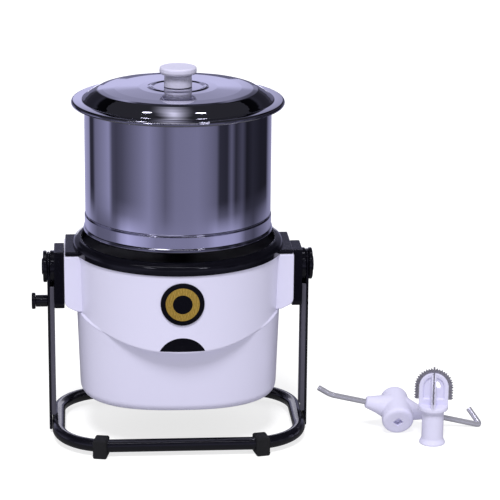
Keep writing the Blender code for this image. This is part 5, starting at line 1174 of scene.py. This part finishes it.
def cage_mesh():
    """Two crossed plates with pockets in both faces at each side of the middle, and windows on one side only.
    """
    half = RIB_THICK / 2
    cage = pushed(arch(RIB_R, CUP_TOP_Z - 0.002), -half, half, "Y")
    cage = carved(cage, pushed(arch(RIB_R, CUP_TOP_Z - 0.002), -half, half, "X"), "UNION")
    for across in ("X", "Y"):
        for sign in (-1, 1):
            for face in (-1, 1):
                low, high = sorted((face * (half - POCKET_DEEP), face * RIB_THICK))
                pocket = opening(POCKET_SIDE, POCKET_R, POCKET_FOOT_Z, sign)
                cage = carved(cage, pushed(pocket, low, high, across))
        window = opening(WINDOW_SIDE, WINDOW_R, WINDOW_FOOT_Z, 1)
        cage = carved(cage, pushed(window, -RIB_THICK, RIB_THICK, across))
    return worked(cage, ("REMESH", {"mode": "VOXEL", "voxel_size": 0.0006}), ("SMOOTH", {"iterations": 9}))


core_outline = [
    (0, 0, 0), (0.0162, 0, 0.0008), (0.0162, 0.002, 0.001), (NECK_R, 0.007, 0.004),
    (NECK_R, CUP_Z - 0.001, 0.003), (CUP_R, CUP_Z, 0.0018), (CUP_R, CUP_TOP_Z, 0.0026),
    (0.006, CUP_TOP_Z, 0.004), (0, CUP_TOP_Z, 0),
]
core = turned(core_outline, "white_plastic", Matrix(), 96, 8)
core = carved(core, box_mesh((-SOCKET_HALF, -SOCKET_HALF, -0.01), (SOCKET_HALF, SOCKET_HALF, 0.026)))
cage = cage_mesh()
cage.transform(SCRAPER_TURN)
scraper = together([core, cage])
scraper.transform(SCRAPER_PLACE)
settle("scraper_body", scraper, "white_plastic", "scraper_core", sharp=45)

# %% two crossed saw bands
SAW_INNER_R, SAW_R, SAW_THICK = 0.0185, 0.0245, 0.0012
TOOTH_DEEP, TOOTH_SET, TOOTH_PITCH = 0.0024, 0.0006, 0.0036
SAW_FOOT_Z = CUP_TOP_Z + 0.007


def band_place(along):
    """For a distance along the band: the height it is bent about there, and the way outwards."""
    rise = DOME_Z - SAW_FOOT_Z
    if along < rise:
        return SAW_FOOT_Z + along, 1, 0
    turn = (along - rise) / SAW_R
    if turn < math.pi:
        return DOME_Z, math.cos(turn), math.sin(turn)
    return DOME_Z - (along - rise - math.pi * SAW_R), -1, 0


def saw_band(across):
    """A strip on edge, its outer edge cut into teeth that lean left and right in turn."""
    length = 2 * (DOME_Z - SAW_FOOT_Z) + math.pi * SAW_R
    teeth = round(length / TOOTH_PITCH)
    bm = bmesh.new()
    sections = []
    for step in range(2 * teeth + 1):
        height, out, up = band_place(length * step / (2 * teeth))
        tip = step % 2
        lean = (1 if step % 4 == 1 else -1) * TOOTH_SET if tip else 0
        section = []
        edge = SAW_R - (0 if tip else TOOTH_DEEP)
        corners = ((SAW_INNER_R, -1, 0), (edge, -1, lean), (edge, 1, lean), (SAW_INNER_R, 1, 0))
        for reach, half, shift in corners:
            wide = half * SAW_THICK / 2 + shift
            flat = (out * reach, wide) if across == "Y" else (wide, out * reach)
            section.append(bm.verts.new((*flat, height + up * reach)))
        sections.append(section)
    for low, high in zip(sections, sections[1:]):
        bridge(bm, low, high)
    bm.faces.new(sections[0])
    bm.faces.new(list(reversed(sections[-1])))
    mesh = to_mesh(bm)
    mesh.transform(SCRAPER_PLACE @ SCRAPER_TURN)
    return outward(mesh)


settle("saw_bands", together([saw_band("Y"), saw_band("X")]), "saw_steel", "scraper_blades", sharp=12)

# %% [markdown]
# ## Dough kneader
#
# It lies on the table: a smooth moulded hub with a square socket in its nose, two tapered sleeves, and a
# bent steel rod in each. The hub is moulded in one, so the turned body and the two sleeves are skinned
# together and smoothed before the square socket is cut. The rods are drawn by the same bender as the
# stand's loop.

# %% kneader hub
KNEADER = Vector((AXIS_X + 0.277, -0.0195, 0.02816))
ROLL = math.radians(13.02)
KNEADER_LAY = Matrix.Translation(KNEADER) @ Matrix.Rotation(math.radians(-70), 4, "X")


def along_rods(reach):
    """A point on the straight part of the rods, at a signed distance from the hub's axis."""
    return KNEADER + Vector((reach * math.cos(ROLL), 0, -reach * math.sin(ROLL)))


NOSE_Z, NOSE_R = -0.028, 0.0205        # the end with the socket
DOME_FOOT_Z, DOME_R, DOME_HIGH = 0.018, 0.0175, 0.012
SLEEVE_START = 0.010
SLEEVE = ((0, 0, 0), (0.0170, 0, 0), (0.0115, 0.014, 0.012), (0.0072, 0.030, 0.0012), (0, 0.030, 0))
turns = [QUARTER * k / 10 for k in range(1, 10)]
hub_shape = [(0, NOSE_Z, 0), (NOSE_R, NOSE_Z, 0.0045), (DOME_R, DOME_FOOT_Z, 0)]
hub_shape += [(DOME_R * math.cos(turn), DOME_FOOT_Z + DOME_HIGH * math.sin(turn), 0) for turn in turns]
hub_shape += [(0, 0.030, 0)]
kneader = turned(hub_shape, "white_plastic", KNEADER_LAY, 96)
for sign in (-1, 1):
    lay = Matrix.Rotation(ROLL, 4, "Y") @ Matrix.Rotation(sign * QUARTER, 4, "Y")
    place = Matrix.Translation(along_rods(sign * SLEEVE_START)) @ lay
    kneader = carved(kneader, turned(SLEEVE, "white_plastic", place, 48), "UNION")
kneader = worked(kneader, ("REMESH", {"mode": "VOXEL", "voxel_size": 0.0008}), ("SMOOTH", {"iterations": 30}))
socket = box_mesh((-SOCKET_HALF, -SOCKET_HALF, -0.040), (SOCKET_HALF, SOCKET_HALF, -0.022))
socket.transform(KNEADER_LAY @ Matrix.Rotation(FULL_TURN / 8, 4, "Z"))
settle("kneader_body", carved(kneader, socket), "white_plastic", "kneader_hub", sharp=45)

# %% kneader rods
ROD_R, ROD_START, ROD_BEND = 0.0035, 0.019, 0.006


def rod_points(reach, tip):
    corner = along_rods(reach)
    end = corner + Vector(tip)
    start = corner + (KNEADER - corner).normalized() * ROD_BEND
    finish = corner + (end - corner).normalized() * ROD_BEND
    bend = [start.lerp(corner, k / 14).lerp(corner.lerp(finish, k / 14), k / 14) for k in range(15)]
    return [along_rods(math.copysign(ROD_START, reach)), *bend, end]


ROD_ENDS = (("left", -0.086, (-0.0150, 0.0080, 0.0070)), ("right", 0.113, (-0.0140, 0.0120, 0.0186)))
for word, reach, tip in ROD_ENDS:
    rod = grown(bent_tube, path_mesh(rod_points(reach, tip), False), "steel", Bend_radius=0.0, Bend_steps=1,
                Tube_radius=ROD_R, Sides=32)
    settle("mixing_rod_" + word, with_soft_edges(rod, 0.0008), "rod_steel", "kneader_rod_" + word)

# %% [markdown]
# ## Pieces that stay as the frame has them
#
# The motor, its bracket, the belt, the nuts and the bearings are inside the closed housing. Their shapes
# are the frame's own and they only get their finish.

# %% finishes for the inner pieces
INNER_PIECES = {
    "nylon": ("pivot_bush_left", "pivot_bush_right", "capacitor", "cooling_fan", "drum_pulley"),
    "zinc": ("trunnion_bolt_left", "trunnion_bolt_right", "chassis_plate", "post_bracket", "post_nut",
             "motor_pulley", "lid_screw"),
    "steel": ("lock_spring", "rotor_shaft", "hub_bearing_lower", "hub_bearing_upper"),
    "rubber": ("drive_belt",),
    "motor_core": ("motor_frame",),
    "black_plastic": ("switch_body",),
}
for finish, nodes in INNER_PIECES.items():
    for node in nodes:
        for place in frame["nodes"][node].material_slots:
            place.material = finishes[finish]
print(sum(len(nodes) for nodes in INNER_PIECES.values()), "inner pieces kept from the frame")

# %% [markdown]
# ## Studio
#
# Mirror steel shows only what stands round it, so a photographer puts up white cards and dark flags. Here a
# near table and low bands go round the object, and a taller wall stands behind them under a dark ceiling.
# Their strengths change with the way round and with the height. Small soft boxes and cards give the
# highlights. Only reflections see any of these, and they don't see the table. The table glows for the
# camera, which makes the background white, and it still takes the object's shadow. The light is a wide sun
# and a pale surround.

# %% helpers for pieces of the studio
def stage_piece(name, mesh, material):
    mesh.materials.append(material)
    item = bpy.data.objects.new(name, mesh)
    bpy.context.scene.collection.objects.link(item)
    print("in the studio:", name)
    return item


def reflected_piece(name, mesh, material):
    """A piece that only reflections see."""
    item = stage_piece(name, mesh, material)
    for kind in ("camera", "diffuse", "transmission", "shadow", "volume_scatter"):
        setattr(item, "visible_" + kind, False)
    return item


def glowing(name, colour, strength):
    material = bpy.data.materials.new(name)
    material.use_nodes = True
    tree = material.node_tree
    tree.nodes.clear()
    light = add_node(tree, "ShaderNodeEmission", {"Color": (*colour, 1), "Strength": strength})
    add_node(tree, "ShaderNodeOutputMaterial", {"Surface": light.outputs[0]})
    return material, tree, light


def surface(tree, shader):
    tree.links.new(shader.outputs[0], tree.nodes["Material Output"].inputs["Surface"])


def flat_sheet(half_x, half_y, height):
    mesh = bpy.data.meshes.new("sheet")
    corners = ((-half_x, -half_y), (half_x, -half_y), (half_x, half_y), (-half_x, half_y))
    mesh.from_pydata([(x, y, height) for x, y in corners], [], [(0, 1, 2, 3)])
    return mesh


# %% table
TABLE_HALF = 9.0
TABLE_COLOUR = (0.42, 0.42, 0.43)
TABLE_LIFT = 0.74          # its glow for the camera, so that it reads as white
TABLE_RETURN = 0.36        # its glow on matt pieces
table_top, tree, glow = glowing("table", (1, 1, 1), 1.0)
ray = add_node(tree, "ShaderNodeLightPath").outputs
seen = spread(tree, ray["Is Camera Ray"], 0, TABLE_LIFT, 0, 1)
sent = spread(tree, ray["Is Diffuse Ray"], 0, TABLE_RETURN, 0, 1)
tree.links.new(maths(tree, "ADD", seen, sent), glow.inputs["Strength"])
matt = add_node(tree, "ShaderNodeBsdfDiffuse", {"Color": (*TABLE_COLOUR, 1)})
surface(tree, add_node(tree, "ShaderNodeAddShader", {0: glow.outputs[0], 1: matt.outputs[0]}))
table = stage_piece("table", flat_sheet(TABLE_HALF, TABLE_HALF, 0), table_top)
table.visible_glossy = False

# %% strengths by degrees round from the front, and by height
BANDS_R, BANDS_TOP = 0.85, 0.55
BANDS_TINT, WALL_TINT = (0.88, 0.87, 1.32), (0.98, 0.97, 1.38)
BANDS = (
    (-180, 0.60), (-160, 0.50), (-137, 0.40), (-132, 0.040), (-124, 0.040), (-118, 0.22), (-110, 0.27),
    (-100, 0.34), (-91, 0.42), (-85, 0.10), (-79, 0.080), (-70, 0.11), (-61, 0.17), (-47, 0.27), (-36, 0.36),
    (-26, 0.27), (-17, 0.17), (-5, 0.28), (20, 0.30), (36, 0.22), (42, 0.18), (46, 0.045), (56, 0.035),
    (62, 0.17), (68, 0.035), (78, 0.10), (85, 0.018), (96, 0.035), (112, 0.022), (130, 0.020), (138, 0.24),
    (160, 0.45),
)
LOW_BANDS = (
    (-180, 0.60), (-142, 0.50), (-128, 0.32), (-113, 0.17), (-90, 0.19), (-80, 0.26), (-72, 0.55),
    (-62, 0.72), (-41, 0.52), (-28, 0.34), (9, 0.33), (31, 0.40), (41, 0.56), (64, 0.54), (73, 0.44),
    (83, 0.17), (98, 0.10), (112, 0.20), (136, 0.34), (180, 0.40),
)
CROSSING = ((0, 0), (0.068, 0.0), (0.084, 0.40), (0.098, 0.80), (0.120, 1), (0.55, 1))   # low bands to bands
FOOT_SHADE = ((0, 0.10), (0.030, 0.10), (0.042, 1), (0.24, 1), (0.31, 0.45), (0.55, 0.40))
WALL = (
    (-180, 0.74), (-172, 0.72), (-164, 0.05), (-104, 0.05), (-60, 0.12), (60, 0.12), (104, 0.05), (164, 0.05),
    (172, 0.72), (180, 0.74),
)
WALL_HEIGHTS = (
    (0.5, 0.9), (0.690, 1.0), (0.708, 1.0), (0.742, 0.60), (0.80, 0.52), (0.90, 0.46), (1.0, 0.46),
    (1.12, 0.62), (1.2, 0.06), (1.5, 0.04),
)
print(len(BANDS), "strengths in the bands and", len(WALL), "in the wall")


# %% lights that go round the object
def round_strip(rings, steps=256):
    """Rings of (radius, height) about the drum axis, joined in turn."""
    bm = bmesh.new()
    turns = [FULL_TURN * k / steps for k in range(steps)]
    loops = [[bm.verts.new((AXIS_X + radius * math.cos(turn), radius * math.sin(turn), height))
              for turn in turns] for radius, height in rings]
    for low, high in zip(loops, loops[1:]):
        bridge(bm, low, high)
    return to_mesh(bm)


def stepped(tree, share, table, start, span):
    """Looks a strength up in a table of (place, strength)."""
    ramp = add_node(tree, "ShaderNodeValToRGB", {0: share})
    stops = ramp.color_ramp.elements
    for place, _ in table[1:-1]:
        stops.new((place - start) / span)
    for stop, (place, strength) in zip(stops, table):
        stop.position = (place - start) / span
        stop.color = (strength, strength, strength, 1)
    return ramp.outputs[0]


def round_light(name, tint, turns, heights, low_turns=None, crossing=None):
    """A light whose strength goes by the way round from the front, and by the height."""
    material, tree, light = glowing(name, tint, 1.0)
    place = add_node(tree, "ShaderNodeTexCoord").outputs["Object"]
    parts = add_node(tree, "ShaderNodeSeparateXYZ", {0: place}).outputs
    forward = maths(tree, "MULTIPLY", parts[1], -1.0)
    turn = spread(tree, maths(tree, "ARCTAN2", sideways_of(tree, parts), forward), 0, 1, -math.pi, math.pi)
    strength = stepped(tree, turn, turns, -180, 360)
    if low_turns:
        share = stepped(tree, parts[2], crossing, 0, 1)
        low = stepped(tree, turn, low_turns, -180, 360)
        values = {0: share, 2: low, 3: strength}
        strength = add_node(tree, "ShaderNodeMix", values, data_type="FLOAT").outputs[0]
    first, last = heights[0][0], heights[-1][0]
    factor = stepped(tree, spread(tree, parts[2], 0, 1, first, last), heights, first, last - first)
    tree.links.new(maths(tree, "MULTIPLY", strength, factor), light.inputs["Strength"])
    return material


# %% near table, bands, wall and ceiling
NEAR_R, WALL_R, WALL_FOOT_Z, CEILING_Z = 0.50, 1.25, 0.5, 1.5
NEAR_Z = -0.0005           # just under the table, which reflections don't see
near_glow = glowing("near_table", (0.97, 0.97, 1.05), 0.16)[0]
reflected_piece("near_table", round_strip(((0.0001, NEAR_Z), (NEAR_R, NEAR_Z))), near_glow)
bands = round_strip(((NEAR_R, NEAR_Z), (BANDS_R, -0.0004), (BANDS_R, BANDS_TOP)))
bands_glow = round_light("bands", BANDS_TINT, BANDS, FOOT_SHADE, LOW_BANDS, CROSSING)
reflected_piece("bands", bands, bands_glow)
wall = round_strip(((WALL_R, WALL_FOOT_Z), (WALL_R, CEILING_Z)))
reflected_piece("wall", wall, round_light("wall", WALL_TINT, WALL, WALL_HEIGHTS))
reflected_piece("ceiling", flat_sheet(3.0, 3.0, CEILING_Z), glowing("ceiling", (1, 1, 1.2), 0.03)[0])

# %% soft boxes and cards for the highlights
def card(name, centre, facing, wide, high, strength, soft=0.75):
    """A glowing oval card at a place, turned to face another place. It fades towards its edge."""
    material, tree, light = glowing(name, (0.98, 0.97, 1.15), strength)
    place = add_node(tree, "ShaderNodeTexCoord").outputs["Object"]
    values = {0: place, 1: (2 / wide, 2 / high, 0)}
    share = add_node(tree, "ShaderNodeVectorMath", values, operation="MULTIPLY").outputs[0]
    reach = length_of(tree, share)
    tree.links.new(spread(tree, reach, strength, 0, soft, 1), light.inputs["Strength"])
    clear = add_node(tree, "ShaderNodeBsdfTransparent").outputs[0]
    share = spread(tree, reach, 1, 0, soft, 1)
    surface(tree, add_node(tree, "ShaderNodeMixShader", {0: share, 1: clear, 2: light.outputs[0]}))
    item = reflected_piece(name, flat_sheet(wide / 2, high / 2, 0), material)
    way = Vector(facing) - Vector(centre)
    item.matrix_world = Matrix.Translation(centre) @ way.to_track_quat("Z", "Y").to_matrix().to_4x4()


def overhead(name, x, y, drop, *settings, **others):
    """A card that hangs under the ceiling and faces straight down."""
    card(name, (x, y, CEILING_Z - drop), (x, y, 0), *settings, **others)


def from_axis(azimuth, elevation, reach, height=0.25):
    """A place seen from the drum axis: degrees round from the front, degrees up, and how far."""
    turn, lean = math.radians(azimuth), math.radians(elevation)
    return (AXIS_X + reach * math.cos(lean) * math.sin(turn), -reach * math.cos(lean) * math.cos(turn),
            height + reach * math.sin(lean))


DRUM_MIDDLE = (AXIS_X, 0, 0.25)
for word, x, y in (("left", -0.451, 0.151), ("right", 0.159, 0.075)):
    overhead("top_box_" + word, x, y, 0.02, 0.15, 0.08, 14)
overhead("top_card", -0.152, 0.05, 0.03, 0.50, 1.5, 1.0, soft=0.1)
for word, azimuth in (("left", -33.5), ("right", 25)):
    card("front_box_" + word, from_axis(azimuth, 28, 1.2), DRUM_MIDDLE, 0.22, 0.10, 10)
card("front_strip", from_axis(-16, 50, 1.0), DRUM_MIDDLE, 1.5, 0.06, 4)
card("back_card", (AXIS_X, 0.80, 0.29), (AXIS_X, 0, 0.29), 1.0, 0.18, 2.0)

# %% lamps and world
KEY_STRENGTH, KEY_ANGLE = 2.45, 17
SURROUND = 0.45
key = bpy.data.lights.new("key", "SUN")
key.angle = math.radians(KEY_ANGLE)
key.energy = KEY_STRENGTH
key_item = bpy.data.objects.new("key", key)
key_way = Vector(from_axis(-8, 56, 1, 0)) - Vector((AXIS_X, 0, 0))
key_item.matrix_world = key_way.to_track_quat("Z", "Y").to_matrix().to_4x4()
bpy.context.scene.collection.objects.link(key_item)
key_item.visible_glossy = False

world = bpy.data.worlds.new("surround")
bpy.context.scene.world = world
world.use_nodes = True
tree = world.node_tree
ray = add_node(tree, "ShaderNodeLightPath").outputs
direct = maths(tree, "MAXIMUM", ray["Is Camera Ray"], ray["Is Glossy Ray"])
direct = maths(tree, "MAXIMUM", direct, ray["Is Transmission Ray"])
background = tree.nodes["Background"]
background.inputs["Color"].default_value = (1, 1, 1, 1)
tree.links.new(spread(tree, direct, SURROUND, 1, 0, 1), background.inputs["Strength"])

view = bpy.context.scene.view_settings
view.view_transform = "Standard"
print("sun of", KEY_STRENGTH, "and a surround of", SURROUND)

# %% [markdown]
# ## Camera
#
# A long lens from the front, about 16.5 degrees above level and 2.5 degrees round to the left, so the
# drum's far and near rims nearly close up and the side tubes of the stand point a little inwards. It looks
# past the drum to the right by 1.84 degrees, because the attachments stand there.

# %% camera
PITCH, ROUND, ASIDE = math.radians(16.5), math.radians(2.5), math.radians(1.84)
CAMERA_REACH = 2.8
LENS_MM = 161.3
target = Vector((AXIS_X, 0, 0.236))
back = Vector((-math.cos(PITCH) * math.sin(ROUND), -math.cos(PITCH) * math.cos(ROUND), math.sin(PITCH)))
ahead = -back
right = ahead.cross(Vector((0, 0, 1))).normalized()
above = right.cross(ahead)
ahead = (ahead * math.cos(ASIDE) + right * math.sin(ASIDE)).normalized()
right = ahead.cross(above).normalized()
lens = bpy.data.cameras.new("camera")
lens.lens = LENS_MM
lens.clip_end = 60
camera = bpy.data.objects.new("camera", lens)
axes = Matrix((right, above, -ahead)).transposed().to_4x4()
camera.matrix_world = Matrix.Translation(target + back * CAMERA_REACH) @ axes
bpy.context.scene.collection.objects.link(camera)
bpy.context.scene.camera = camera
print("camera at", [round(value, 3) for value in camera.matrix_world.translation])
